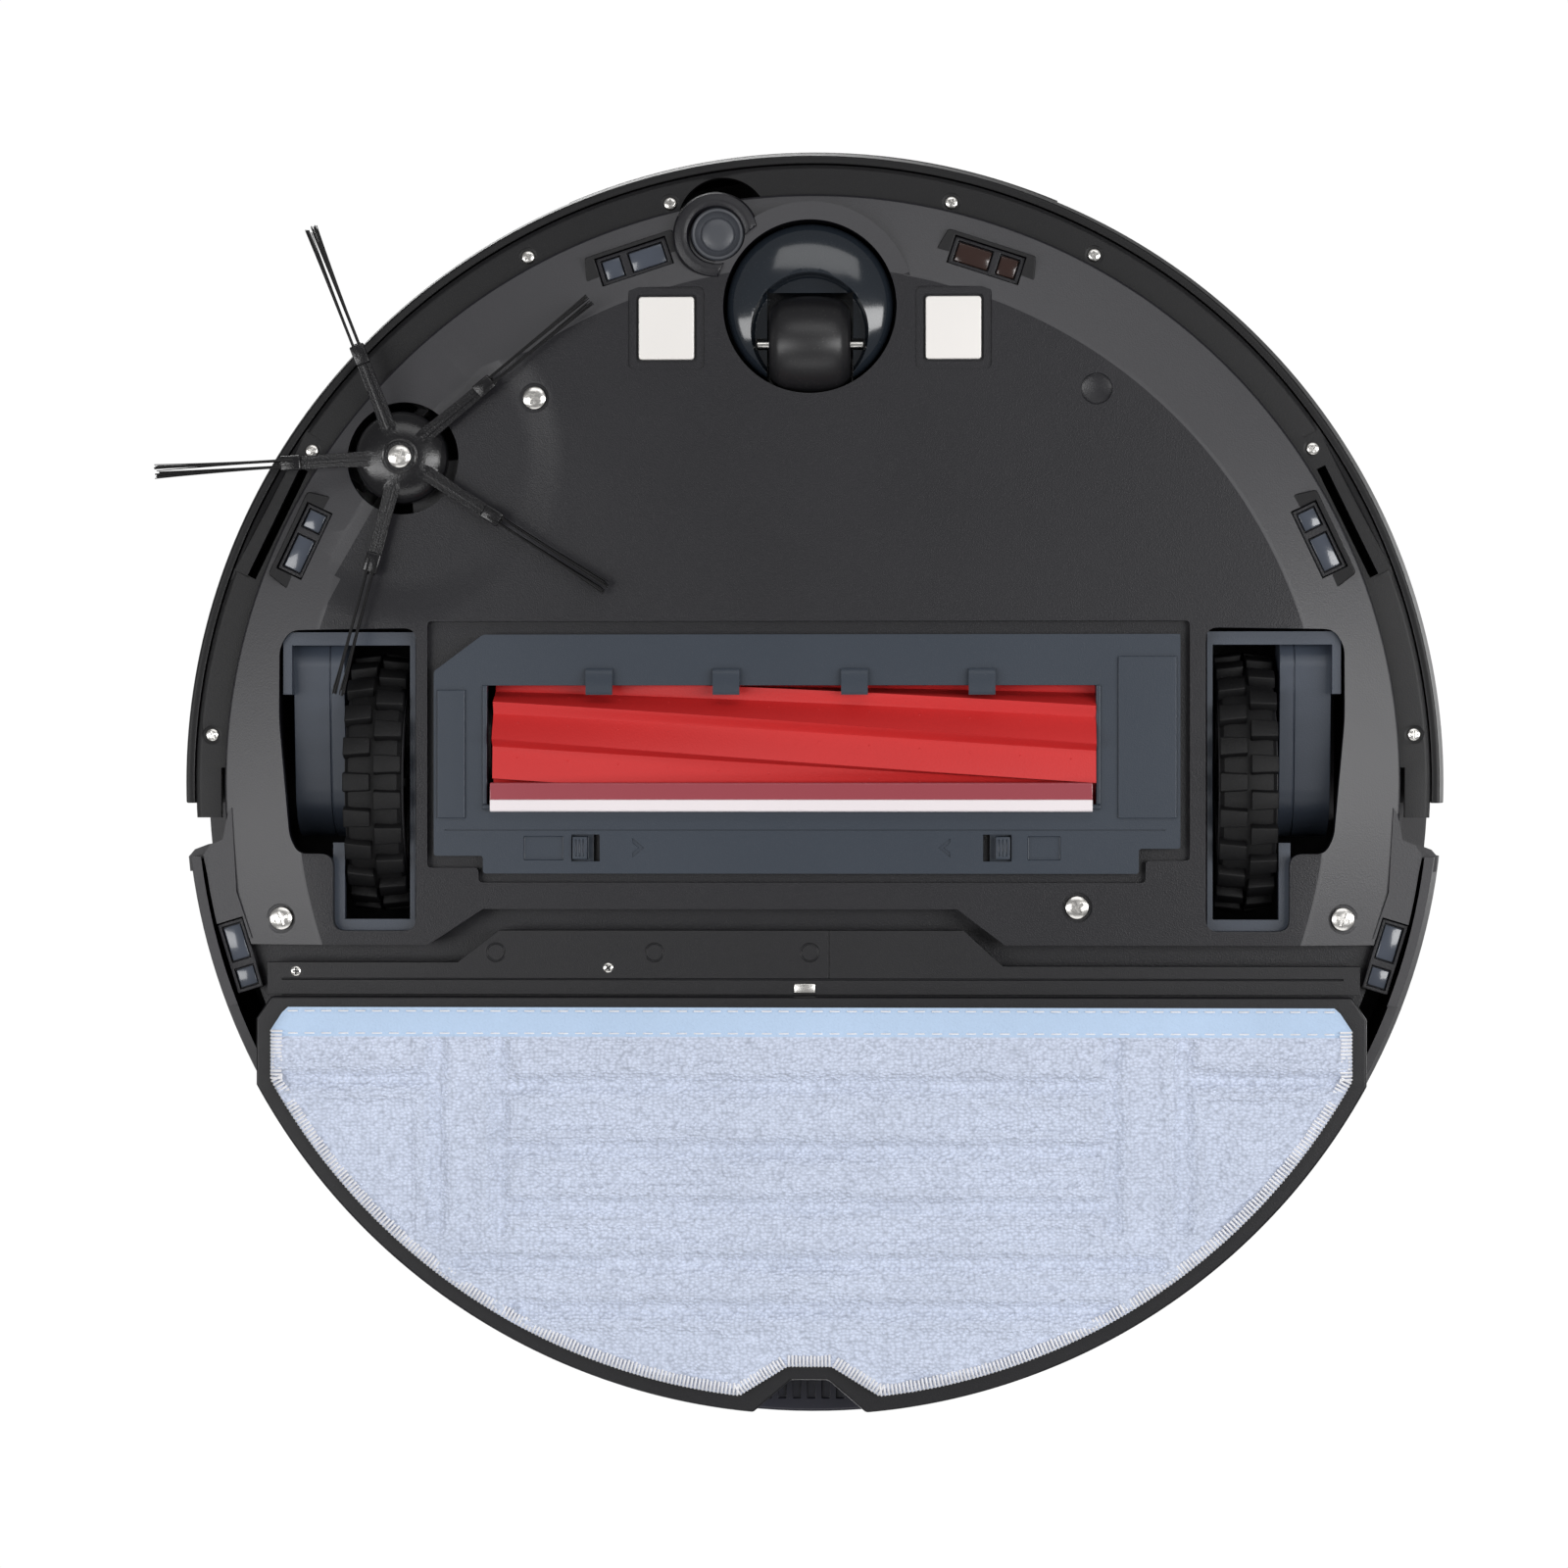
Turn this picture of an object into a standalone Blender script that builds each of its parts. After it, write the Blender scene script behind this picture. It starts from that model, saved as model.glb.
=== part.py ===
"""Robot vacuum with a lifting mop, standing on its wheels with its bumper towards -Y.

Metres, +Z up. The origin is on the floor under the middle of the round body.
"""

import math

import bmesh
import bpy
from mathutils import Matrix, Vector

# Driving dimensions of the whole machine
BODY_RADIUS = 0.1755
BODY_HEIGHT = 0.079
TURRET_HEIGHT = BODY_HEIGHT + 0.0175
GROUND_CLEARANCE = 0.008
BODY_STEPS = 60
FAR = 2 * BODY_RADIUS
GAP = 0.0003
FIT = 0.0004

# Shells
DECK_THICKNESS = 0.003
PLATE_THICKNESS = 0.003
WALL = 0.0025
FLAT_RADIUS = BODY_RADIUS - 0.0355
LIP_RADIUS = BODY_RADIUS - 0.015
LIP_RISE = 0.006
CORE_RADIUS = BODY_RADIUS - 0.025
CORE_TOP = BODY_HEIGHT - 0.019
REAR_EDGE = 0.0443
REAR_FLOOR = 0.020
SKIRT_STEP = 0.061
LOBE_INSIDE = BODY_RADIUS - 0.0226
SKIRT_BOTTOM = 0.012
SKIRT_BOTTOM_REAR = 0.017
SHOULDER_Y = 0.0204

# Bumper
BUMPER_BOTTOM = 0.017
BUMPER_END = 0.0057
RAIL_END = 0.0097
RAIL_THICKNESS = 0.003
NOTCH_X = BODY_RADIUS - 0.0145

# Drive wheels
WHEEL_RADIUS = 0.036
TYRE_INSIDE = 0.1107
TYRE_WIDTH = 0.016
PIVOT_Y = -0.0325
PIVOT_Z = 0.026
PIVOT_RADIUS = 0.009
GEARBOX_RADIUS = 0.015
GEARBOX_INSIDE = 0.128
GEARBOX_OUTSIDE = 0.142
WELL_INSIDE = 0.1073
WELL_OUTSIDE = 0.1430
WELL_FRONT = -0.042
WELL_REAR = 0.041
WELL_TOP = 0.056
WELL_FLOOR = 0.0122

# Caster
CASTER_Y = 0.0462 - BODY_RADIUS
CASTER_HOLE = 0.0236
CONTACT_X = 0.039
CONTACT_Y = CASTER_Y + 0.0059
CASTER_TRAIL = 0.010
CASTER_WHEEL_RADIUS = 0.0132
CASTER_WHEEL_WIDTH = 0.022
CASTER_TOP = 0.030

# Side brush
SIDE_BRUSH_RIM = 0.03344
SIDE_BRUSH_BEARING = -51.52
SIDE_BRUSH_RADIUS = 0.067
SIDE_BRUSH_ARMS = 5
SIDE_BRUSH_TURN = math.radians(-111.4)
SIDE_HUB_RADIUS = 0.0126
SIDE_HOLE_RADIUS = 0.0154

# Main brush and its bay
BAY_LEFT, BAY_RIGHT = -0.1042, 0.1030
BAY_FRONT, BAY_REAR = -0.0438, 0.0273
ROLLER_Y = -0.010
ROLLER_RADIUS = 0.0195
ROLLER_Z = ROLLER_RADIUS + 0.0010
ROLLER_CORE = ROLLER_RADIUS - 0.0040
ROLLER_LEFT, ROLLER_RIGHT = -0.086, 0.0775
ROLLER_FINS = 11
ROLLER_SLICES = 10
ROLLER_TWIST = math.radians(37)
FIN_SHAPE = [(-0.17, ROLLER_CORE), (-0.05, ROLLER_RADIUS), (0.05, ROLLER_RADIUS), (0.17, ROLLER_CORE)]
COVER_BOTTOM = 0.0059

# Dustbin, tank and lid
BIN_HALF = 0.066
BIN_FRONT, BIN_REAR = 0.032, 0.075
BIN_WALL = 0.002
TANK_HALF = 0.111
TANK_FRONT = 0.078
TANK_BOTTOM = 0.024
TANK_WALL = 0.003
LATCH_BOTTOM, LATCH_TOP = 0.040, 0.056
LID_HALF = 0.084
LID_FRONT, LID_REAR = 0.0280, 0.1010

# Mop
MOP_FRONT = 0.0582
MOP_HALF = 0.1505
MOP_RADIUS = BODY_RADIUS - 0.004
MOP_BOTTOM, MOP_TOP = 0.0050, 0.0096
CLOTH_BOTTOM = 0.0006
CLOTH_FRONT = 0.061
CLOTH_RADIUS = MOP_RADIUS - 0.0045
CARRIER_TOP = 0.014

# Turret and keys
TURRET_Y = -0.030
TURRET_RADIUS = 0.045
TURRET_CUP = 0.039
KEY_Y = -0.120
KEY_SPACING = 0.034

PARTS = None
CUTTERS = None


def clear_scene():
    for thing in list(bpy.data.objects):
        bpy.data.objects.remove(thing, do_unlink=True)


def new_collection(name):
    made = bpy.data.collections.new(name)
    bpy.context.scene.collection.children.link(made)
    return made


def plastic(name, colour, roughness=0.5, metallic=0.0):
    made = bpy.data.materials.new(name)
    made.use_nodes = True
    surface = made.node_tree.nodes["Principled BSDF"]
    surface.inputs["Base Color"].default_value = (*colour, 1.0)
    surface.inputs["Roughness"].default_value = roughness
    surface.inputs["Metallic"].default_value = metallic
    return made


def add_object(name, mesh, look):
    """A new object in the parts collection with its own material."""
    made = bpy.data.objects.new(name, mesh)
    made.data.materials.append(plastic(name, *look))
    PARTS.objects.link(made)
    return made


def mesh_from(bm, name):
    bmesh.ops.recalc_face_normals(bm, faces=bm.faces)
    mesh = bpy.data.meshes.new(name)
    bm.to_mesh(mesh)
    bm.free()
    return mesh


def smooth(thing, degrees=32):
    thing.data.shade_smooth()
    thing.data.set_sharp_from_angle(angle=math.radians(degrees))
    return thing


def block(name, low, high, look=((0.05, 0.05, 0.05),), bevel=0.0):
    """A box between two corners."""
    low, high = Vector(low), Vector(high)
    bm = bmesh.new()
    place = Matrix.Translation((low + high) / 2) @ Matrix.Diagonal((*(high - low), 1.0))
    bmesh.ops.create_cube(bm, size=1.0, matrix=place)
    made = add_object(name, mesh_from(bm, name), look)
    if bevel:
        add_bevel(made, bevel)
    return made


def add_bevel(thing, width, segments=1):
    modifier = thing.modifiers.new("rounded edges", "BEVEL")
    modifier.width = width
    modifier.segments = segments
    modifier.limit_method = "ANGLE"
    modifier.angle_limit = math.radians(50)


def rod(name, radius, low, high, centre, axis="Z", look=((0.05, 0.05, 0.05),), steps=24):
    """A cylinder along an axis, from low to high, with its centre line through centre."""
    turn = {"Z": Matrix(), "X": Matrix.Rotation(math.pi / 2, 4, "Y")}[axis]
    middle = Vector((*centre, (low + high) / 2)) if axis == "Z" else Vector(((low + high) / 2, *centre))
    bm = bmesh.new()
    bmesh.ops.create_cone(
        bm,
        cap_ends=True,
        segments=steps,
        radius1=radius,
        radius2=radius,
        depth=high - low,
        matrix=Matrix.Translation(middle) @ turn,
    )
    return smooth(add_object(name, mesh_from(bm, name), look))


def clockwise(profile):
    """The profile ordered so that it runs down its outer side."""
    area = 0.0
    for (r0, z0), (r1, z1) in zip(profile, profile[1:] + profile[:1]):
        area += r0 * z1 - r1 * z0
    return profile if area < 0 else profile[::-1]


def turned(name, profile, look=((0.05, 0.05, 0.05),), centre=(0.0, 0.0, 0.0), steps=BODY_STEPS, ring=False):
    """A profile of (radius, height) points turned about Z, closed on itself when it is a ring."""
    points = clockwise(profile) if ring else profile
    mesh = bpy.data.meshes.new(name)
    edges = [(i, i + 1) for i in range(len(points) - 1)]
    if ring:
        edges.append((len(points) - 1, 0))
    mesh.from_pydata([(r, 0.0, z) for r, z in points], edges, [])
    made = add_object(name, mesh, look)
    made.location = centre
    screw = made.modifiers.new("turned", "SCREW")
    screw.angle = math.tau
    screw.steps = steps
    screw.render_steps = steps
    screw.use_merge_vertices = True
    screw.merge_threshold = 0.00001
    screw.use_smooth_shade = True
    return made


def turned_on_x(name, profile, look, centre, steps=32, ring=False, side=1):
    """A turned shape laid along X: the profile's heights run towards +X, or -X on side -1."""
    made = turned(name, profile, look, centre, steps, ring)
    made.rotation_euler = (0.0, side * math.pi / 2, 0.0)
    return made


def plate(name, points, low, high, look=((0.05, 0.05, 0.05),)):
    """A flat outline in X and Y, between two heights."""
    curve = bpy.data.curves.new(name, "CURVE")
    curve.dimensions = "2D"
    curve.fill_mode = "BOTH"
    curve.extrude = (high - low) / 2
    spline = curve.splines.new("POLY")
    spline.points.add(len(points) - 1)
    for point, (x, y) in zip(spline.points, points):
        point.co = (x, y, 0.0, 1.0)
    spline.use_cyclic_u = True
    drawn = bpy.data.objects.new(name + " outline", curve)
    drawn.location.z = (low + high) / 2
    bpy.context.scene.collection.objects.link(drawn)
    bpy.context.view_layer.update()
    graph = bpy.context.evaluated_depsgraph_get()
    mesh = bpy.data.meshes.new_from_object(drawn.evaluated_get(graph))
    mesh.transform(drawn.matrix_world)
    bpy.data.objects.remove(drawn, do_unlink=True)
    bm = bmesh.new()
    bm.from_mesh(mesh)
    bmesh.ops.remove_doubles(bm, verts=bm.verts, dist=0.000002)
    bmesh.ops.dissolve_limit(bm, angle_limit=0.01, verts=bm.verts, edges=bm.edges)
    bpy.data.meshes.remove(mesh)
    return add_object(name, mesh_from(bm, name), look)


def side_plate(name, points, low, high, look=((0.05, 0.05, 0.05),)):
    """An outline of (y, z) points standing across X, between two X values."""
    made = plate(name, points, low, high, look)
    made.data.transform(Matrix(((0, 0, 1, 0), (1, 0, 0, 0), (0, 1, 0, 0), (0, 0, 0, 1))))
    return made


def arc(radius, start, end, steps, centre=(0.0, 0.0)):
    """Points along an arc, angles in degrees from +X towards +Y."""
    points = []
    for i in range(steps + 1):
        angle = math.radians(start + (end - start) * i / steps)
        points.append((centre[0] + radius * math.cos(angle), centre[1] + radius * math.sin(angle)))
    return points


def mirrored(points, side):
    """The points on the left side (-1) or the right side (+1), in a steady turning direction."""
    moved = [(side * x, y) for x, y in points]
    return moved if side > 0 else moved[::-1]


def combine(target, tool, operation):
    PARTS.objects.unlink(tool)
    CUTTERS.objects.link(tool)
    tool.hide_render = True
    tool.display_type = "WIRE"
    modifier = target.modifiers.new(tool.name, "BOOLEAN")
    modifier.operation = operation
    modifier.solver = target.get("solver", "EXACT")
    modifier.object = tool
    return target


def cut(target, *tools):
    for tool in tools:
        combine(target, tool, "DIFFERENCE")


def join(target, *tools):
    for tool in tools:
        combine(target, tool, "UNION")


def use_manifold_solver(thing):
    """For a shape with so many crossing walls that the exact solver leaves open edges."""
    thing["solver"] = "MANIFOLD"


def on_joint(name, place, *pieces, carrier=None):
    """An empty on a joint's axis, carrying the pieces that the joint moves."""
    empty = bpy.data.objects.new(name, None)
    empty.empty_display_size = 0.02
    empty.location = place
    PARTS.objects.link(empty)
    if carrier:
        empty.parent = carrier
        empty.matrix_parent_inverse = Matrix.Translation(-carrier.location)
    for piece in pieces:
        piece.parent = empty
        piece.matrix_parent_inverse = Matrix.Translation(-Vector(place))
    return empty


BLACK = ((0.028, 0.027, 0.031), 0.45)
DARK = ((0.033, 0.032, 0.036), 0.5)
SLATE = ((0.078, 0.091, 0.120), 0.42)
RUBBER = ((0.009, 0.008, 0.009), 0.75)
STEEL = ((0.62, 0.61, 0.58), 0.28, 1.0)
RED = ((0.58, 0.045, 0.043), 0.5)
SMOKE = ((0.06, 0.065, 0.08), 0.12)
CLOTH = ((0.52, 0.57, 0.70), 0.95)
CLEAR = ((0.70, 0.62, 0.78), 0.2)
GREEN_BOARD = ((0.02, 0.12, 0.05), 0.5)
WHITE = ((0.75, 0.75, 0.73), 0.6)

DECK_BOTTOM = BODY_HEIGHT - DECK_THICKNESS
FLOOR_TOP = GROUND_CLEARANCE + PLATE_THICKNESS
REAR_CONTOUR = [
    (-0.104, REAR_EDGE),
    (-0.089, REAR_EDGE - 0.0098),
    (0.040, REAR_EDGE - 0.0098),
    (0.053, REAR_EDGE),
]


def shell_outside(bottom):
    """Half of the body's outer profile, flaring from its lower edge to the full radius."""
    return [
        (BODY_RADIUS - 0.0050, bottom),
        (BODY_RADIUS - 0.0026, BODY_HEIGHT - 0.053),
        (BODY_RADIUS - 0.0003, BODY_HEIGHT - 0.037),
        (BODY_RADIUS, BODY_HEIGHT - 0.027),
        (BODY_RADIUS - 0.0002, BODY_HEIGHT - 0.009),
        (BODY_RADIUS - 0.0012, DECK_BOTTOM - 0.0006),
    ]


def inset(profile, depth):
    return [(r - depth, z) for r, z in reversed(profile)]


def chassis_shell():
    """Dished floor plate with a sloped rim, cut off at the rear where the mop hangs."""
    lip = GROUND_CLEARANCE + LIP_RISE
    floor = turned(
        "bottom_chassis",
        [
            (0.0, FLOOR_TOP),
            (FLAT_RADIUS - 0.0005, FLOOR_TOP),
            (LIP_RADIUS - 0.002, lip + 0.0028),
            (LIP_RADIUS, lip + 0.0028),
            (LIP_RADIUS, lip),
            (FLAT_RADIUS, GROUND_CLEARANCE),
            (0.0, GROUND_CLEARANCE),
        ],
        DARK,
    )
    use_manifold_solver(floor)
    behind = [(-FAR, REAR_EDGE), *REAR_CONTOUR, (FAR, REAR_EDGE), (FAR, FAR), (-FAR, FAR)]
    cut(floor, plate("behind the rear edge", behind, -0.01, 0.03))
    return floor


def above_floor(wall):
    """Trims a wall to start inside the floor plate, which rises towards its rim."""
    middle = PLATE_THICKNESS / 2
    below = turned(
        wall.name + " foot",
        [
            (0.0, GROUND_CLEARANCE + middle),
            (FLAT_RADIUS, GROUND_CLEARANCE + middle),
            (LIP_RADIUS, GROUND_CLEARANCE + LIP_RISE + middle),
            (LIP_RADIUS + 0.010, GROUND_CLEARANCE + LIP_RISE + middle),
            (LIP_RADIUS + 0.010, -0.010),
            (0.0, -0.010),
        ],
        steps=36,
    )
    use_manifold_solver(wall)
    cut(wall, below)
    return wall


def chassis_walls(floor):
    """Perimeter wall, raised rear floor, the step that joins them and the side lobes."""
    ring = turned(
        "perimeter wall",
        [
            (CORE_RADIUS - WALL, 0.0),
            (CORE_RADIUS, 0.0),
            (CORE_RADIUS, CORE_TOP),
            (CORE_RADIUS - WALL, CORE_TOP),
        ],
        ring=True,
    )
    use_manifold_solver(ring)
    cut(ring, block("wall end", (-FAR, 0.0240, -0.01), (FAR, FAR, FAR)))
    join(floor, above_floor(ring))
    step = [(x, y - 0.0004) for x, y in [(-CORE_RADIUS, REAR_EDGE), *REAR_CONTOUR, (CORE_RADIUS, REAR_EDGE)]]
    step += [(x, y - WALL) for x, y in reversed(step)]
    join(floor, above_floor(plate("rear step", step, 0.0, REAR_FLOOR + 0.0015)))
    wing = LIP_RADIUS - 0.0060
    rear_ends = (-wing, REAR_EDGE - 0.0006), (wing, REAR_EDGE - 0.0009)
    rear = [(x, y - 0.0014) for x, y in [rear_ends[0], *REAR_CONTOUR, rear_ends[1]]]
    rear += arc(BODY_RADIUS - 0.0135, 17, 163, 24)
    join(floor, plate("raised rear floor", rear, REAR_FLOOR, REAR_FLOOR + WALL))
    lobe_low = GROUND_CLEARANCE + LIP_RISE - 0.0008
    for side in (-1, 1):
        lobe = [
            (LIP_RADIUS - 0.0020, 0.0070),
            (LIP_RADIUS - 0.0010, 0.0085),
            (NOTCH_X, 0.0157),
            (LIP_RADIUS + 0.0040, 0.0172),
            (LIP_RADIUS + 0.0058, 0.0200),
        ]
        lobe += arc(BODY_RADIUS - 0.0084, 8.5, 14.8, 4)
        lobe += [(LOBE_INSIDE, REAR_EDGE - 0.0016), (LIP_RADIUS - 0.0033, 0.0300)]
        join(floor, plate(f"side lobe {side}", mirrored(lobe, side), lobe_low, lobe_low + 0.0031))


def wheel_well(floor, side):
    """Boxed well round one drive wheel, open below through a shaped hole."""
    outside = [
        (WELL_INSIDE - 0.0021, WELL_FRONT - 0.0025),
        (WELL_OUTSIDE + 0.0052, WELL_FRONT - 0.0025),
        (WELL_OUTSIDE + 0.0052, 0.0220),
        (0.1350, 0.0220),
        (0.1350, WELL_REAR + 0.0020),
        (WELL_INSIDE - 0.0021, WELL_REAR + 0.0020),
    ]
    inside = [
        (WELL_INSIDE - 0.0001, WELL_FRONT - 0.0005),
        (WELL_OUTSIDE + 0.0032, WELL_FRONT - 0.0005),
        (WELL_OUTSIDE + 0.0032, 0.0200),
        (0.1330, 0.0200),
        (0.1330, WELL_REAR),
        (WELL_INSIDE - 0.0001, WELL_REAR),
    ]
    hole = [
        (WELL_INSIDE, WELL_FRONT + 0.003),
        (WELL_INSIDE + 0.003, WELL_FRONT),
        (WELL_OUTSIDE - 0.003, WELL_FRONT + 0.0005),
        (WELL_OUTSIDE + 0.001, WELL_FRONT + 0.004),
        (WELL_OUTSIDE + 0.002, WELL_FRONT + 0.006),
        (WELL_OUTSIDE + 0.002, -0.017),
        (WELL_OUTSIDE - 0.001, 0.015),
        (WELL_OUTSIDE - 0.0035, 0.0195),
        (0.130, 0.0195),
        (0.130, WELL_REAR - 0.003),
        (0.127, WELL_REAR - 0.0005),
        (WELL_INSIDE + 0.003, WELL_REAR - 0.0005),
        (WELL_INSIDE, WELL_REAR - 0.003),
    ]
    join(floor, above_floor(plate(f"well wall {side}", mirrored(outside, side), 0.0, WELL_TOP)))
    cut(
        floor,
        plate(f"well space {side}", mirrored(inside, side), WELL_FLOOR, WELL_TOP + 0.002),
        plate(f"well hole {side}", mirrored(hole, side), 0.0, WELL_FLOOR + 0.001),
    )


CLIFF_SENSORS = (
    ("front", 0.02561, 18.68, 18.0, (0.0200, 0.0076)),
    ("side", 0.02226, 64.49, 64.5, (0.0196, 0.0074)),
    ("rear", 0.01205, 106.9, 107.0, (0.0196, 0.0070)),
)


def cliff_places():
    """Name, centre, angle of the tangent and size of each cliff sensor."""
    places = []
    for side, word in ((-1, "left"), (1, "right")):
        for where, inset, bearing, angle, size in CLIFF_SENSORS:
            centre = rim_point(inset, side * bearing)
            places.append((f"cliff_sensor_{where}_{word}", centre, side * angle, size))
    return places


def rim_point(inset, bearing):
    """A place inset from the body's radius, at a bearing in degrees from the front towards +X."""
    turn = math.radians(bearing)
    reach = BODY_RADIUS - inset
    return (reach * math.sin(turn), -reach * math.cos(turn))


def slanted_block(name, centre, angle, size, low, high, look=((0.05, 0.05, 0.05),), bevel=0.0):
    """A block turned about Z."""
    half_x, half_y = size[0] / 2, size[1] / 2
    made = block(name, (-half_x, -half_y, low), (half_x, half_y, high), look, bevel)
    made.location = (centre[0], centre[1], 0.0)
    made.rotation_euler = (0.0, 0.0, math.radians(angle))
    return made


CARPET_SENSOR = rim_point(0.0243, -9.56)
SIDE_BRUSH_PLACE = rim_point(SIDE_BRUSH_RIM, SIDE_BRUSH_BEARING)
SCREW_PLACES = {
    "chassis_screw_front": (-0.0750, -0.1046),
    "chassis_screw_rear_left": (-0.1446, 0.0372),
    "chassis_screw_rear_right": (0.1446, 0.0372),
    "chassis_screw_rear_inner": (0.0725, 0.0340),
}


HOUSING_SCREW = "chassis_screw_rear_inner"


def underside(place):
    """Height of the floor plate's underside, which rises from the flat middle to the rim."""
    share = (math.hypot(*place) - FLAT_RADIUS) / (LIP_RADIUS - FLAT_RADIUS)
    rise = LIP_RISE * min(max(0.0, share), 1.0)
    return GROUND_CLEARANCE + rise


def chassis_holes(floor):
    """Openings for the caster, brushes, sensors, contacts and screws."""
    bay = [
        (BAY_LEFT, BAY_FRONT),
        (BAY_RIGHT, BAY_FRONT),
        (BAY_RIGHT, BAY_REAR - 0.006),
        (BAY_RIGHT - 0.012, BAY_REAR - 0.006),
        (BAY_RIGHT - 0.012, BAY_REAR),
        (BAY_LEFT + 0.014, BAY_REAR),
        (BAY_LEFT + 0.014, BAY_REAR - 0.004),
        (BAY_LEFT, BAY_REAR - 0.004),
    ]
    cut(
        floor,
        plate("bay hole", bay, 0.0, 0.012),
        rod("side brush hole", SIDE_HOLE_RADIUS, 0.0, 0.030, SIDE_BRUSH_PLACE, steps=28),
        rod("side motor space", 0.0096, 0.0125, 0.062, SIDE_BRUSH_PLACE),
        rod("carpet sensor hole", 0.0075, 0.0, 0.0245, CARPET_SENSOR),
    )
    for name, centre, angle, size in cliff_places():
        wide = (size[0] + 2 * GAP, size[1] + 2 * GAP)
        cut(floor, slanted_block(name + " hole", centre, angle, wide, 0.0, 0.0205))
    for side in (-1, 1):
        x = side * CONTACT_X
        frame = 0.00785 + GAP
        pocket = block(
            f"contact pocket {side}",
            (x - frame, CONTACT_Y - 0.0088, 0.0),
            (x + frame, CONTACT_Y + 0.0088, 0.0095),
        )
        cut(floor, pocket)
    for name, place in SCREW_PLACES.items():
        seat = underside(place)
        recess = rod(name + " recess", 0.0040, 0.0, seat + 0.0012, place, steps=16)
        cut(floor, recess, rod(name + " hole", 0.0019, 0.0, 0.030, place, steps=12))


def caster_cup(floor):
    """Cup above the floor that the caster turns in."""
    cup = turned(
        "caster cup",
        [
            (0.0032, CASTER_TOP + 0.0010),
            (CASTER_HOLE - 0.001, CASTER_TOP + 0.0010),
            (CASTER_HOLE - 0.001, 0.0095),
            (CASTER_HOLE + 0.0018, 0.0095),
            (CASTER_HOLE + 0.0018, CASTER_TOP + 0.0030),
            (0.0032, CASTER_TOP + 0.0030),
        ],
        centre=(0.0, CASTER_Y, 0.0),
        steps=32,
        ring=True,
    )
    pad = rod(
        "caster pad",
        CASTER_HOLE + 0.0049,
        GROUND_CLEARANCE + 0.00005,
        0.0135,
        (0.0, CASTER_Y),
        steps=32,
    )
    join(floor, pad, cup)
    hole = rod("caster hole", CASTER_HOLE, 0.0, CASTER_TOP + 0.0010, (0.0, CASTER_Y), steps=32)
    cut(floor, hole)


def bottom_chassis():
    floor = chassis_shell()
    chassis_walls(floor)
    for side in (-1, 1):
        wheel_well(floor, side)
    caster_cup(floor)
    chassis_holes(floor)


def upper_shell():
    """Deck with its rear skirt, shoulders, screw posts and openings."""
    deck = turned(
        "upper_shell",
        [
            (0.0, BODY_HEIGHT),
            (BODY_RADIUS - 0.0055, BODY_HEIGHT),
            (BODY_RADIUS - 0.0020, BODY_HEIGHT - 0.0010),
            (BODY_RADIUS - 0.0008, DECK_BOTTOM),
            (0.0, DECK_BOTTOM),
        ],
        BLACK,
    )
    outside = shell_outside(SKIRT_BOTTOM)[:-1] + [(BODY_RADIUS - 0.0010, DECK_BOTTOM + 0.0010)]
    skirt = turned("rear skirt", outside + inset(outside, WALL), ring=True)
    cut(
        skirt,
        block("skirt front", (-FAR, -FAR, 0.0), (FAR, SHOULDER_Y, FAR)),
        block("skirt over the mop", (-FAR, SKIRT_STEP, 0.0), (FAR, FAR, SKIRT_BOTTOM_REAR)),
    )
    join(deck, skirt)
    for side in (-1, 1):
        shoulder = [
            (CORE_RADIUS + 0.0010, RAIL_END + 0.0002),
            (NOTCH_X, RAIL_END + 0.0002),
            (NOTCH_X, 0.0155),
            (NOTCH_X + 0.0045, 0.0170),
            (BODY_RADIUS - 0.0046, SHOULDER_Y),
            (BODY_RADIUS - 0.0050, SHOULDER_Y + 0.004),
            (BODY_RADIUS - 0.0072, SHOULDER_Y + 0.004),
            (BODY_RADIUS - 0.0075, SHOULDER_Y + 0.001),
            (NOTCH_X + 0.0030, 0.0192),
            (NOTCH_X - WALL, 0.0175),
            (NOTCH_X - WALL, RAIL_END + 0.0027),
            (CORE_RADIUS + 0.0010, RAIL_END + 0.0027),
        ]
        join(deck, plate(f"shoulder {side}", mirrored(shoulder, side), BUMPER_BOTTOM, DECK_BOTTOM + 0.001))
    tank_space = block(
        "tank space", (-TANK_HALF - 0.001, TANK_FRONT - 0.001, 0.0), (TANK_HALF + 0.001, FAR, DECK_BOTTOM)
    )
    lid_space = block(
        "lid space", (-LID_HALF - FIT, LID_FRONT - FIT, CORE_TOP), (LID_HALF + FIT, LID_REAR + FIT, FAR)
    )
    turret_space = rod("turret space", TURRET_CUP + FIT, CORE_TOP, FAR, (0.0, TURRET_Y), steps=40)
    cut(deck, tank_space, lid_space, turret_space)
    for index in (-1, 0, 1):
        cut(deck, key_shape(f"key space {index}", index, FIT, CORE_TOP, FAR))
    for name, place in SCREW_PLACES.items():
        if name == HOUSING_SCREW:
            continue
        join(
            deck,
            rod(name + " post", 0.0038, underside(place) + 0.0066, DECK_BOTTOM + 0.001, place, steps=12),
        )
        cut(deck, rod(name + " bore", 0.0018, 0.0, 0.034, place, steps=12))
    pins = rod(
        "lid pin hole",
        0.00115,
        -LID_HALF - 0.003,
        LID_HALF + 0.003,
        (LID_FRONT + 0.0015, DECK_BOTTOM + 0.0015),
        "X",
        steps=12,
    )
    cut(deck, pins)


def key_half_width(index):
    return 0.011 if index == 0 else 0.008


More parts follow.
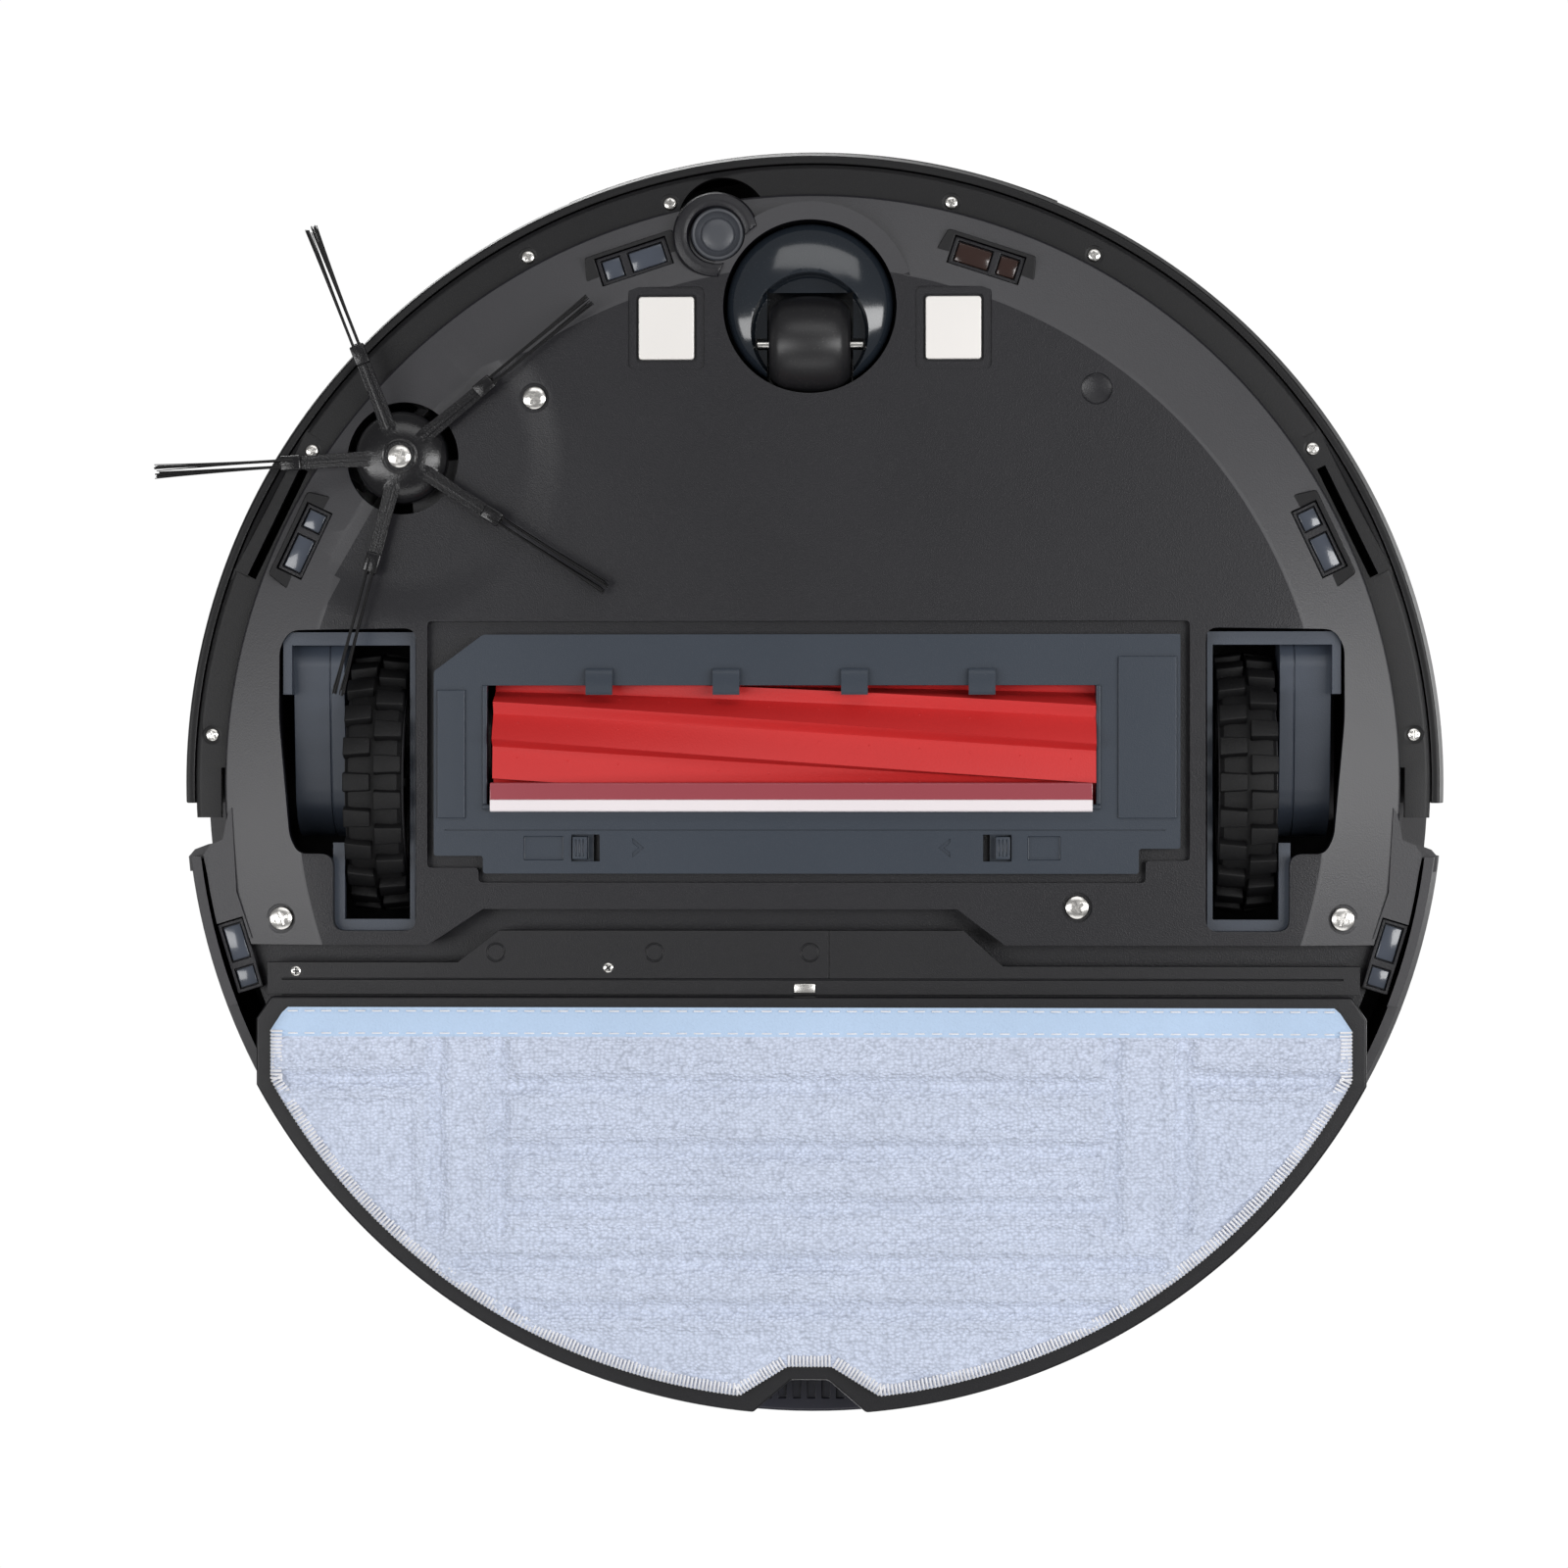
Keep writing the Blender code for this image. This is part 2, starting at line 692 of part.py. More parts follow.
def key_shape(name, index, grow, low, high, look=((0.05, 0.05, 0.05),)):
    """A key with round ends, widened by grow."""
    half = key_half_width(index) - 0.0045
    centre = index * KEY_SPACING
    points = arc(0.0045 + grow, -90, 90, 8, (centre + half, KEY_Y))
    points += arc(0.0045 + grow, 90, 270, 8, (centre - half, KEY_Y))
    return plate(name, points, low, high, look)


def keys():
    """Three keys that sink into the deck, each with a foot under it."""
    for index, word in ((-1, "left"), (0, "centre"), (1, "right")):
        key = key_shape(f"key_{word}", index, 0.0, DECK_BOTTOM - 0.0060, BODY_HEIGHT + 0.0009, BLACK)
        x = index * KEY_SPACING
        foot_half = key_half_width(index) + 0.0016
        foot = block(
            f"key foot {word}",
            (x - foot_half, KEY_Y - 0.0062, DECK_BOTTOM - 0.0030),
            (x + foot_half, KEY_Y + 0.0062, DECK_BOTTOM - 0.0012),
        )
        join(key, foot)
        on_joint(f"joint_key_{word}", (x, KEY_Y, BODY_HEIGHT), key)


def dust_lid():
    """Lid over the dustbin, turning on two pins at its front edge."""
    nose_z = DECK_BOTTOM + DECK_THICKNESS / 2
    nose_y = LID_FRONT + DECK_THICKNESS / 2
    nose = arc(DECK_THICKNESS / 2, 90, 270, 8, (nose_y, nose_z))
    profile = nose + [(LID_REAR, DECK_BOTTOM), (LID_REAR, BODY_HEIGHT)]
    lid = side_plate("dust_lid", profile, -LID_HALF, LID_HALF, BLACK)
    for side in (-1, 1):
        start, end = sorted((side * (LID_HALF - 0.001), side * (LID_HALF + 0.0024)))
        join(lid, rod(f"lid pin {side}", 0.0008, start, end, (nose_y, nose_z), "X", steps=10))
    on_joint("joint_dust_lid", (0.0, nose_y, nose_z), lid)


def bumper():
    """Sprung front bumper: an outer skin and the rail screwed into its lower edge."""
    outside = shell_outside(BUMPER_BOTTOM)
    outside[0] = (BODY_RADIUS - 0.0035, BUMPER_BOTTOM)
    inside = [
        (BODY_RADIUS - 0.0125, DECK_BOTTOM - 0.0006),
        (BODY_RADIUS - 0.0125, DECK_BOTTOM - 0.0031),
        (BODY_RADIUS - 0.0030, DECK_BOTTOM - 0.0031),
        (BODY_RADIUS - 0.0026, BODY_HEIGHT - 0.029),
        (BODY_RADIUS - 0.0032, BODY_HEIGHT - 0.039),
        (BODY_RADIUS - 0.0058, BODY_HEIGHT - 0.055),
        (BODY_RADIUS - 0.0062, BUMPER_BOTTOM),
    ]
    skin = turned("bumper_skin", outside + inside, BLACK, ring=True)
    cut(skin, block("behind the skin", (-FAR, BUMPER_END, 0.0), (FAR, FAR, FAR)))
    rail_outside = BODY_RADIUS - 0.0062 - GAP
    rail_low = BUMPER_BOTTOM + GAP
    rail = turned(
        "bumper_rail",
        [
            (LIP_RADIUS - 0.0030, rail_low),
            (rail_outside, rail_low),
            (rail_outside, rail_low + RAIL_THICKNESS),
            (LIP_RADIUS - 0.0030, rail_low + RAIL_THICKNESS),
        ],
        DARK,
        ring=True,
    )
    cut(rail, block("behind the rail", (-FAR, RAIL_END, 0.0), (FAR, FAR, FAR)))
    cut(rail, block("rail beside the wall", (-NOTCH_X - 0.001, -0.004, 0.0), (NOTCH_X + 0.001, FAR, FAR)))
    for side in (-1, 1):
        place = rim_point(0.0127, side * 64.1)
        cut(rail, slanted_block(f"rail slot {side}", place, side * 64.0, (0.0330, 0.0026), 0.0, 0.03))
    cut(
        rail,
        rod("rail over the carpet sensor", 0.0125, 0.0, 0.03, rim_point(0.0206, -8.9)),
        rod("rail over the caster", CASTER_HOLE + 0.0065, 0.0, 0.03, (0.0, CASTER_Y), steps=32),
    )
    on_joint("joint_bumper", (0.0, -BODY_RADIUS, 0.045), skin, rail)


def inner_parts():
    """What the closed body holds: battery, board, motors, fan and dustbin."""
    block("battery_pack", (-0.068, -0.099, FLOOR_TOP + GAP), (0.075, -0.050, 0.034), SLATE, 0.002)
    board = block(
        "main_board",
        (-0.090, -0.112, CORE_TOP + 0.0020),
        (0.090, -0.072, CORE_TOP + 0.0036),
        GREEN_BOARD,
    )
    cut(
        board,
        rod(
            "board clearance",
            0.0048,
            CORE_TOP,
            CORE_TOP + 0.010,
            SCREW_PLACES["chassis_screw_front"],
            steps=12,
        ),
    )
    motor = rod("side_brush_motor", 0.0090, 0.0145, 0.0400, SIDE_BRUSH_PLACE, look=BLACK)
    can_place = (SIDE_BRUSH_PLACE[0] + 0.0152, SIDE_BRUSH_PLACE[1] + 0.0129)
    join(motor, rod("motor can", 0.0130, 0.0150, 0.0420, can_place))
    fan = rod("suction_fan", 0.0170, REAR_FLOOR + WALL + GAP, 0.0620, (0.1240, 0.0620), look=WHITE)
    join(fan, block("fan duct", (BIN_HALF + GAP, 0.0500, 0.0400), (0.1200, 0.0740, 0.0600)))
    bin_shell = block(
        "dustbin",
        (-BIN_HALF, BIN_FRONT, 0.0240),
        (BIN_HALF, BIN_REAR, DECK_BOTTOM - 0.0015),
        SMOKE,
    )
    cut(
        bin_shell,
        block(
            "bin space",
            (-BIN_HALF + BIN_WALL, BIN_FRONT + BIN_WALL, 0.0240 + BIN_WALL),
            (BIN_HALF - BIN_WALL, BIN_REAR - BIN_WALL, FAR),
        ),
        block("bin inlet", (-0.0400, BIN_FRONT - 0.0050, 0.0300), (0.0400, BIN_FRONT + 0.0050, 0.0420)),
        block("bin outlet", (BIN_HALF - 0.0050, 0.0520, 0.0420), (BIN_HALF + 0.0050, 0.0720, 0.0580)),
    )
    filter_right = BIN_HALF - BIN_WALL - GAP
    block(
        "dust_filter",
        (filter_right - 0.008, 0.0350, 0.0263),
        (filter_right, BIN_REAR - BIN_WALL - 0.0010, 0.0660),
        WHITE,
        0.001,
    )


def brush_housing():
    """Floating chamber round the roller, with the dust outlet towards the bin."""
    low = FLOOR_TOP + GAP
    housing = block(
        "brush_housing",
        (-0.1048, BAY_FRONT - 0.0040, low),
        (0.1048, 0.0296, low + 0.0020),
        BLACK,
    )
    chamber = block(
        "chamber",
        (BAY_LEFT + 0.0012, BAY_FRONT, low + 0.0010),
        (BAY_RIGHT, BAY_REAR - 0.0005, 0.0460),
    )
    join(housing, chamber)
    screw_at = SCREW_PLACES[HOUSING_SCREW]
    tab = block(
        "screw tab",
        (screw_at[0] - 0.0040, 0.0280, low),
        (screw_at[0] + 0.0040, screw_at[1] + 0.0040, low + 0.0019),
    )
    join(housing, tab, rod("screw boss", 0.0037, low + 0.0010, 0.0280, screw_at, steps=12))
    cut(housing, rod("boss bore", 0.0018, 0.0, 0.0265, screw_at, steps=12))
    inside_left, inside_right = BAY_LEFT + 0.0045, BAY_RIGHT - 0.0045
    centre = (ROLLER_Y, ROLLER_Z)
    reach = ROLLER_RADIUS + 0.0025
    cut(
        housing,
        rod("chamber bore", reach, inside_left, inside_right, centre, "X", steps=32),
        block(
            "chamber mouth",
            (inside_left, ROLLER_Y - reach, 0.0),
            (inside_right, ROLLER_Y + reach, ROLLER_Z),
        ),
        block("dust outlet", (-0.0400, ROLLER_Y, 0.0300), (0.0400, 0.0350, 0.0420)),
    )
    caps_radius = ROLLER_Z - COVER_BOTTOM - 0.0031
    left = rod("brush_bearing_left", caps_radius, inside_left + GAP, ROLLER_LEFT - 0.0008, centre, "X", SLATE)
    cut(left, rod("bearing bore", 0.0032, inside_left + 0.003, ROLLER_LEFT, centre, "X"))
    right = rod(
        "brush_bearing_right",
        caps_radius,
        ROLLER_RIGHT + 0.0008,
        inside_right - GAP,
        centre,
        "X",
        SLATE,
    )
    cut(right, rod("drive bore", 0.0044, ROLLER_RIGHT, ROLLER_RIGHT + 0.0120, centre, "X"))
    block("brush_motor", (0.0640, -0.0400, 0.0463), (0.1030, -0.0040, 0.0720), BLACK, 0.002)


def main_brush():
    """Rubber roller whose fins wind one way from end to end, with a stub at each end."""
    bm = bmesh.new()
    rings = []
    for index in range(ROLLER_SLICES + 1):
        share = index / ROLLER_SLICES
        x = ROLLER_LEFT + (ROLLER_RIGHT - ROLLER_LEFT) * share
        turn = ROLLER_TWIST * share
        ring = []
        for fin in range(ROLLER_FINS):
            root = turn + math.tau * fin / ROLLER_FINS
            for offset, radius in FIN_SHAPE:
                angle = root + offset
                y, z = ROLLER_Y + radius * math.cos(angle), ROLLER_Z + radius * math.sin(angle)
                ring.append(bm.verts.new((x, y, z)))
        rings.append(ring)
    for first, second in zip(rings, rings[1:]):
        for a in range(len(first)):
            b = (a + 1) % len(first)
            bm.faces.new((first[a], first[b], second[b], second[a]))
    bm.faces.new(rings[0])
    bm.faces.new(rings[-1])
    roller = add_object("main_brush", mesh_from(bm, "main_brush"), RED)
    centre = (ROLLER_Y, ROLLER_Z)
    join(
        roller,
        rod("roller stub left", 0.0028, ROLLER_LEFT - 0.0060, ROLLER_LEFT + 0.002, centre, "X"),
        rod("roller stub right", 0.0040, ROLLER_RIGHT - 0.002, ROLLER_RIGHT + 0.0100, centre, "X", steps=6),
    )
    on_joint("joint_main_brush", (0.0, ROLLER_Y, ROLLER_Z), roller)


WINDOW_LEFT, WINDOW_RIGHT = ROLLER_LEFT - 0.0016, ROLLER_RIGHT
WINDOW_FRONT, WINDOW_REAR = -0.0263, 0.0060
LATCHES = {"latch_left": (-0.0643, 1), "latch_right": (0.0504, -1)}
LATCH_WIDTH = 0.0039
LATCH_TRAVEL = 0.003


def brush_cover():
    """Frame that holds the roller in, with its rim, hooks, latch slots and end lugs."""
    left, right = BAY_LEFT + 0.0020, BAY_RIGHT - 0.0027
    front, rear = BAY_FRONT + 0.0037, BAY_REAR - 0.0025
    outline = [
        (left + 0.0134, front),
        (right, front),
        (right, rear - 0.0068),
        (right - 0.0112, rear - 0.0068),
        (right - 0.0112, rear),
        (left + 0.0134, rear),
        (left + 0.0134, rear - 0.0048),
        (left, rear - 0.0048),
        (left, front + 0.0100),
    ]
    top = COVER_BOTTOM + 0.0025
    cover = plate("brush_cover", outline, COVER_BOTTOM, top, SLATE)
    rims = [
        ((left + 0.0140, front, top - 0.001), (right, front + 0.0020, 0.0112)),
        ((left + 0.0140, rear - 0.0020, top - 0.001), (right - 0.0115, rear, 0.0112)),
        ((left, front + 0.0110, top - 0.001), (left + 0.0020, rear - 0.0050, 0.0112)),
        ((right - 0.0020, front, top - 0.001), (right, rear - 0.0070, 0.0112)),
    ]
    for index, (low, high) in enumerate(rims):
        join(cover, block(f"cover rim {index}", low, high))
    cut(cover, block("cover window", (WINDOW_LEFT, WINDOW_FRONT, 0.0), (WINDOW_RIGHT, WINDOW_REAR, 0.02)))
    for index in range(4):
        x = -0.0571 + index * 0.0346
        low = (x - 0.0036, WINDOW_FRONT - 0.0047, 0.0036)
        high = (x + 0.0036, WINDOW_FRONT + 0.0027, 0.0054)
        root = block(f"hook root {index}", low, (high[0], WINDOW_FRONT - 0.0010, COVER_BOTTOM + 0.001))
        join(cover, root, block(f"hook {index}", low, high))
    for name, (x, way) in LATCHES.items():
        start, end = sorted((x - way * FIT, x + way * (LATCH_WIDTH + LATCH_TRAVEL + FIT)))
        if way < 0:
            start, end = x - LATCH_TRAVEL - FIT, x + LATCH_WIDTH + FIT
        cut(cover, block(name + " slot", (start, 0.0142, 0.0), (end, 0.0215, 0.02)))
    scraper = block(
        "scraper",
        (WINDOW_LEFT + 0.001, 0.0001, 0.0022),
        (WINDOW_RIGHT - 0.001, 0.0080, 0.0034),
        CLEAR,
    )
    root = block(
        "scraper root",
        (WINDOW_LEFT + 0.001, 0.0040, 0.0030),
        (WINDOW_RIGHT - 0.001, 0.0080, COVER_BOTTOM - GAP),
    )
    join(scraper, root)
    hold = on_joint("joint_brush_cover", (0.0, 0.0, COVER_BOTTOM), cover, scraper)
    for name, (x, way) in LATCHES.items():
        latch = block(name, (x, 0.0148, 0.0048), (x + LATCH_WIDTH, 0.0209, 0.0109), SLATE)
        join(
            latch,
            block(name + " head", (x - 0.0016, 0.0126, 0.0088), (x + LATCH_WIDTH + 0.0016, 0.0222, 0.0106)),
        )
        on_joint("joint_" + name, (x, 0.0178, 0.0088), latch, carrier=hold)


def caster():
    """Swivelling caster: a glossy dome that holds a barrel wheel on a steel axle."""
    axle_y = CASTER_Y + CASTER_TRAIL
    axle_z = CASTER_WHEEL_RADIUS
    centre = (0.0, CASTER_Y, 0.0)
    edge = CASTER_HOLE - 0.0009
    dome = turned(
        "caster_housing",
        [
            (0.0, 0.0420),
            (0.0026, 0.0420),
            (0.0026, CASTER_TOP),
            (edge, CASTER_TOP),
            (edge, 0.0110),
            (edge - 0.0020, 0.0084),
            (edge - 0.0070, 0.0058),
            (edge - 0.0130, 0.0046),
            (0.0, 0.0042),
        ],
        SLATE,
        centre,
        28,
    )
    half = CASTER_WHEEL_WIDTH / 2 + 0.0007
    reach = CASTER_WHEEL_RADIUS + 0.0008
    cut(
        dome,
        block("caster mouth", (-half, axle_y - reach, -0.01), (half, 0.0 + CASTER_Y + 0.03, axle_z)),
        block(
            "caster roof",
            (-half, axle_y - reach, axle_z - 0.001),
            (half, CASTER_Y + 0.03, axle_z + reach),
        ),
        block("axle pocket", (-0.0150, axle_y - 0.0016, -0.01), (0.0150, axle_y + 0.0016, axle_z + 0.0016)),
    )
    width = CASTER_WHEEL_WIDTH / 2
    wheel = turned_on_x(
        "caster_wheel",
        [
            (0.0015, width),
            (0.0098, width),
            (0.0112, width - 0.0020),
            (0.0126, width - 0.0060),
            (CASTER_WHEEL_RADIUS, 0.0),
            (0.0126, -width + 0.0060),
            (0.0112, -width + 0.0020),
            (0.0098, -width),
            (0.0015, -width),
        ],
        RUBBER,
        (0.0, axle_y, axle_z),
        18,
        ring=True,
    )
    axle = rod("caster_axle", 0.0012, -0.0145, 0.0145, (axle_y, axle_z), "X", STEEL, steps=12)
    swivel = on_joint("joint_caster_swivel", centre, dome)
    on_joint("joint_caster_roll", (0.0, axle_y, axle_z), axle, wheel, carrier=swivel)


def side_brush():
    """Five-armed side brush: hub with its arms, the bristles under them and the centre screw."""
    centre = (*SIDE_BRUSH_PLACE, 0.0)
    hub = turned(
        "side_brush_hub",
        [
            (0.0017, 0.0140),
            (0.0034, 0.0140),
            (0.0034, 0.0115),
            (SIDE_HUB_RADIUS, 0.0115),
            (SIDE_HUB_RADIUS, 0.0070),
            (0.0108, 0.0047),
            (0.0070, 0.0036),
            (0.0017, 0.0034),
        ],
        BLACK,
        centre,
        24,
        ring=True,
    )
    bristles = turned(
        "side_brush_bristles",
        [
            (SIDE_HUB_RADIUS + GAP, 0.0024),
            (SIDE_HUB_RADIUS + 0.0016, 0.0024),
            (SIDE_HUB_RADIUS + 0.0016, 0.0036),
            (SIDE_HUB_RADIUS + GAP, 0.0036),
        ],
        RUBBER,
        centre,
        24,
        ring=True,
    )
    for index in range(SIDE_BRUSH_ARMS):
        angle = SIDE_BRUSH_TURN + math.tau * index / SIDE_BRUSH_ARMS
        arm = block(f"arm {index}", (0.0090, -0.0018, 0.0044), (0.0330, 0.0018, 0.0058))
        tuft = block(
            f"tuft {index}",
            (SIDE_HUB_RADIUS + 0.0010, -0.0012, 0.0026),
            (SIDE_BRUSH_RADIUS, 0.0012, 0.0034),
        )
        for piece, target in ((arm, hub), (tuft, bristles)):
            piece.location = centre
            piece.rotation_euler = (0.0, 0.0, angle)
            join(target, piece)
    screw = rod("side_brush_screw", 0.0032, 0.0020, 0.0032, centre[:2], look=STEEL, steps=16)
    join(screw, rod("brush screw shank", 0.0014, 0.0030, 0.0135, centre[:2], steps=8))
    on_joint("joint_side_brush", centre, hub, bristles, screw)


def hull_of_circles(first, first_radius, second, second_radius, steps=8):
    """Outline round two circles of (y, z) centres joined by their tangents."""
    along = math.atan2(second[1] - first[1], second[0] - first[0])
    spread = math.acos((first_radius - second_radius) / math.dist(first, second))
    start, end = math.degrees(along + spread), math.degrees(along - spread)
    points = arc(first_radius, start, end + 360, steps, first)
    points += arc(second_radius, end, start, steps, second)
    return points


def drive_wheel(side):
    """Fixed bracket, swinging gearbox, spring, hub and tyre on one side."""
    word = "left" if side < 0 else "right"

    def span(low, high):
        return sorted((side * low, side * high))

    def bar(name, x0, x1, y0, y1, z0, z1, look=SLATE):
        left, right = span(x0, x1)
        return block(f"{word}_{name}", (left, y0, z0), (right, y1, z1), look)

    low, high = WELL_FLOOR + FIT, WELL_FLOOR + 0.0032
    bracket = bar(
        "wheel_bracket",
        WELL_INSIDE + 0.0003,
        GEARBOX_OUTSIDE + 0.0032,
        -0.0410,
        -0.0374,
        low,
        high,
    )
    join(
        bracket,
        bar("bracket side", WELL_INSIDE + 0.0003, WELL_INSIDE + 0.0018, -0.0400, 0.0400, low, 0.0400),
        bar("bracket rear", WELL_INSIDE + 0.0003, 0.1305, 0.0374, 0.0405, low, high),
        bar("bracket strip", TYRE_INSIDE + TYRE_WIDTH + 0.0006, 0.1305, 0.0165, 0.0404, low, high),
        bar("bracket ear", GEARBOX_OUTSIDE + 0.0008, GEARBOX_OUTSIDE + 0.0032, -0.0405, -0.0240, low, 0.0370),
    )
    pin_low, pin_high = span(GEARBOX_OUTSIDE - 0.002, GEARBOX_OUTSIDE + 0.0040)
    cut(bracket, rod(f"{word} ear hole", 0.0034, pin_low, pin_high, (PIVOT_Y, PIVOT_Z), "X", steps=16))
    x0, x1 = span(GEARBOX_INSIDE, GEARBOX_OUTSIDE)
    wheel_at = (0.0, WHEEL_RADIUS)
    shape = hull_of_circles((PIVOT_Y, PIVOT_Z), PIVOT_RADIUS, wheel_at, GEARBOX_RADIUS)
    gearbox = side_plate(f"{word}_wheel_gearbox", shape, x0, x1, SLATE)
    slot_low, slot_high = span(0.1330, 0.1390)
    cut(
        gearbox,
        block(
            f"{word} spring slot",
            (slot_low, -0.0500, PIVOT_Z - 0.0061),
            (slot_high, PIVOT_Y + 0.0063, 0.0500),
        ),
    )
    pin_low, pin_high = span(0.1300, GEARBOX_OUTSIDE + 0.0030)
    join(gearbox, rod(f"{word} pivot pin", 0.0030, pin_low, pin_high, (PIVOT_Y, PIVOT_Z), "X", steps=16))
    axle_low, axle_high = span(TYRE_INSIDE + 0.0060, GEARBOX_INSIDE + 0.0020)
    join(gearbox, rod(f"{word} axle", 0.0030, axle_low, axle_high, wheel_at, "X", steps=16))
    spring = turned_on_x(
        f"{word}_wheel_spring",
        [(0.0036, 0.0027), (0.0058, 0.0027), (0.0058, -0.0027), (0.0036, -0.0027)],
        STEEL,
        (side * 0.1360, PIVOT_Y, PIVOT_Z),
        14,
        ring=True,
    )
    middle = side * (TYRE_INSIDE + TYRE_WIDTH / 2)
    half = TYRE_WIDTH / 2
    tyre = turned_on_x(
        f"{word}_tyre",
        [
            (0.0295, half),
            (0.0340, half),
            (WHEEL_RADIUS, half - 0.0015),
            (WHEEL_RADIUS, -half + 0.0015),
            (0.0340, -half),
            (0.0295, -half),
        ],
        RUBBER,
        (middle, *wheel_at),
        28,
        ring=True,
    )
    hub = turned_on_x(
        f"{word}_wheel_hub",
        [
            (0.0, -half + 0.0054),
            (0.0033, -half + 0.0054),
            (0.0033, 0.0020),
            (0.0220, 0.0020),
            (0.0220, half),
            (0.0292, half),
            (0.0292, -half + 0.0002),
            (0.0, -half + 0.0002),
        ],
        DARK,
        (middle, *wheel_at),
        20,
        side=side,
    )
    swing = on_joint(f"joint_{word}_suspension", (side * 0.1350, PIVOT_Y, PIVOT_Z), gearbox, spring)
    on_joint(f"joint_{word}_wheel", (middle, *wheel_at), tyre, hub, carrier=swing)


def sensors_and_contacts():
    """Cliff sensors, the carpet sensor and the two charging contacts."""
    for name, centre, angle, size in cliff_places():
        low = underside(centre) + 0.0005
        high = REAR_FLOOR - GAP if "rear" in name else BUMPER_BOTTOM - GAP
        slanted_block(name, centre, angle, size, low, high, SMOKE)
    centre = (*CARPET_SENSOR, 0.0)
    turned(
        "carpet_sensor",
        [
            (0.0, 0.0240),
            (0.0072, 0.0240),
            (0.0072, 0.0094),
            (0.0060, 0.0090),
            (0.0045, 0.0106),
            (0.0, 0.0106),
        ],
        DARK,
        centre,
        24,
    )
    for side, word in ((-1, "left"), (1, "right")):
        x = side * CONTACT_X
        block(
            f"charging_contact_{word}",
            (x - 0.00755, CONTACT_Y - 0.00855, GROUND_CLEARANCE - 0.0002),
            (x + 0.00755, CONTACT_Y + 0.00855, GROUND_CLEARANCE + 0.0012),
            STEEL,
            0.0005,
        )


def chassis_screws():
    for name, place in SCREW_PLACES.items():
        seat = underside(place)
        screw = rod(name, 0.0032, seat - 0.0004, seat + 0.0009, place, look=STEEL, steps=16)
        join(screw, rod(name + " shank", 0.0015, seat + 0.0005, seat + 0.0160, place, steps=8))


def turret():
    """Laser turret: base cup in the deck, spinning head and the cover on its posts."""
    centre = (0.0, TURRET_Y, 0.0)
    seat = BODY_HEIGHT + GAP
    cup_floor = CORE_TOP + 0.0020
    turned(
        "lidar_base",
        [
            (TURRET_RADIUS, seat),
            (TURRET_RADIUS, seat + 0.0022),
            (TURRET_CUP - 0.0020, seat + 0.0022),
            (TURRET_CUP - 0.0020, cup_floor + 0.0020),
            (0.0040, cup_floor + 0.0020),
            (0.0040, cup_floor),
            (TURRET_CUP, cup_floor),
            (TURRET_CUP, seat),
        ],
        BLACK,
        centre,
        32,
        ring=True,
    )
    head = turned(
        "lidar_rotor",
        [
            (0.0, TURRET_HEIGHT - 0.0060),
            (0.0300, TURRET_HEIGHT - 0.0060),
            (0.0310, TURRET_HEIGHT - 0.0070),
            (0.0310, cup_floor + 0.0100),
            (0.0034, cup_floor + 0.0080),
            (0.0034, cup_floor + 0.0005),
            (0.0, cup_floor + 0.0005),
        ],
        DARK,
        centre,
        24,
    )
    cover = turned(
        "lidar_cover",
        [
            (0.0, TURRET_HEIGHT),
            (TURRET_RADIUS - 0.0040, TURRET_HEIGHT),
            (TURRET_RADIUS - 0.0010, TURRET_HEIGHT - 0.0010),
            (TURRET_RADIUS, TURRET_HEIGHT - 0.0030),
            (TURRET_RADIUS, TURRET_HEIGHT - 0.0045),
            (0.0, TURRET_HEIGHT - 0.0045),
        ],
        BLACK,
        centre,
        32,
    )
    for index, degrees in enumerate((35, 90, 145, 270)):
        angle = math.radians(degrees)
        place = (0.0385 * math.cos(angle), TURRET_Y + 0.0385 * math.sin(angle))
        join(
            cover,
            rod(f"turret post {index}", 0.0022, seat + 0.0025, TURRET_HEIGHT - 0.0040, place, steps=10),
        )
    on_joint("joint_lidar", centre, head)


def mop_outline(front, half, radius, notch):
    """D-shaped outline with chamfered front corners and a notch at the middle of its rear arc."""
    corner = math.degrees(math.acos(half / radius))
    lobe = math.degrees(math.acos(notch[0] / radius))
    points = [(-half + 0.004, front), (half - 0.004, front), (half, front + 0.006)]
    points += arc(radius, corner, lobe, 14)
    points += [(notch[1], notch[2]), (-notch[1], notch[2])]
    points += arc(radius, 180 - lobe, 180 - corner, 14)
    points += [(-half, front + 0.006)]
    return points


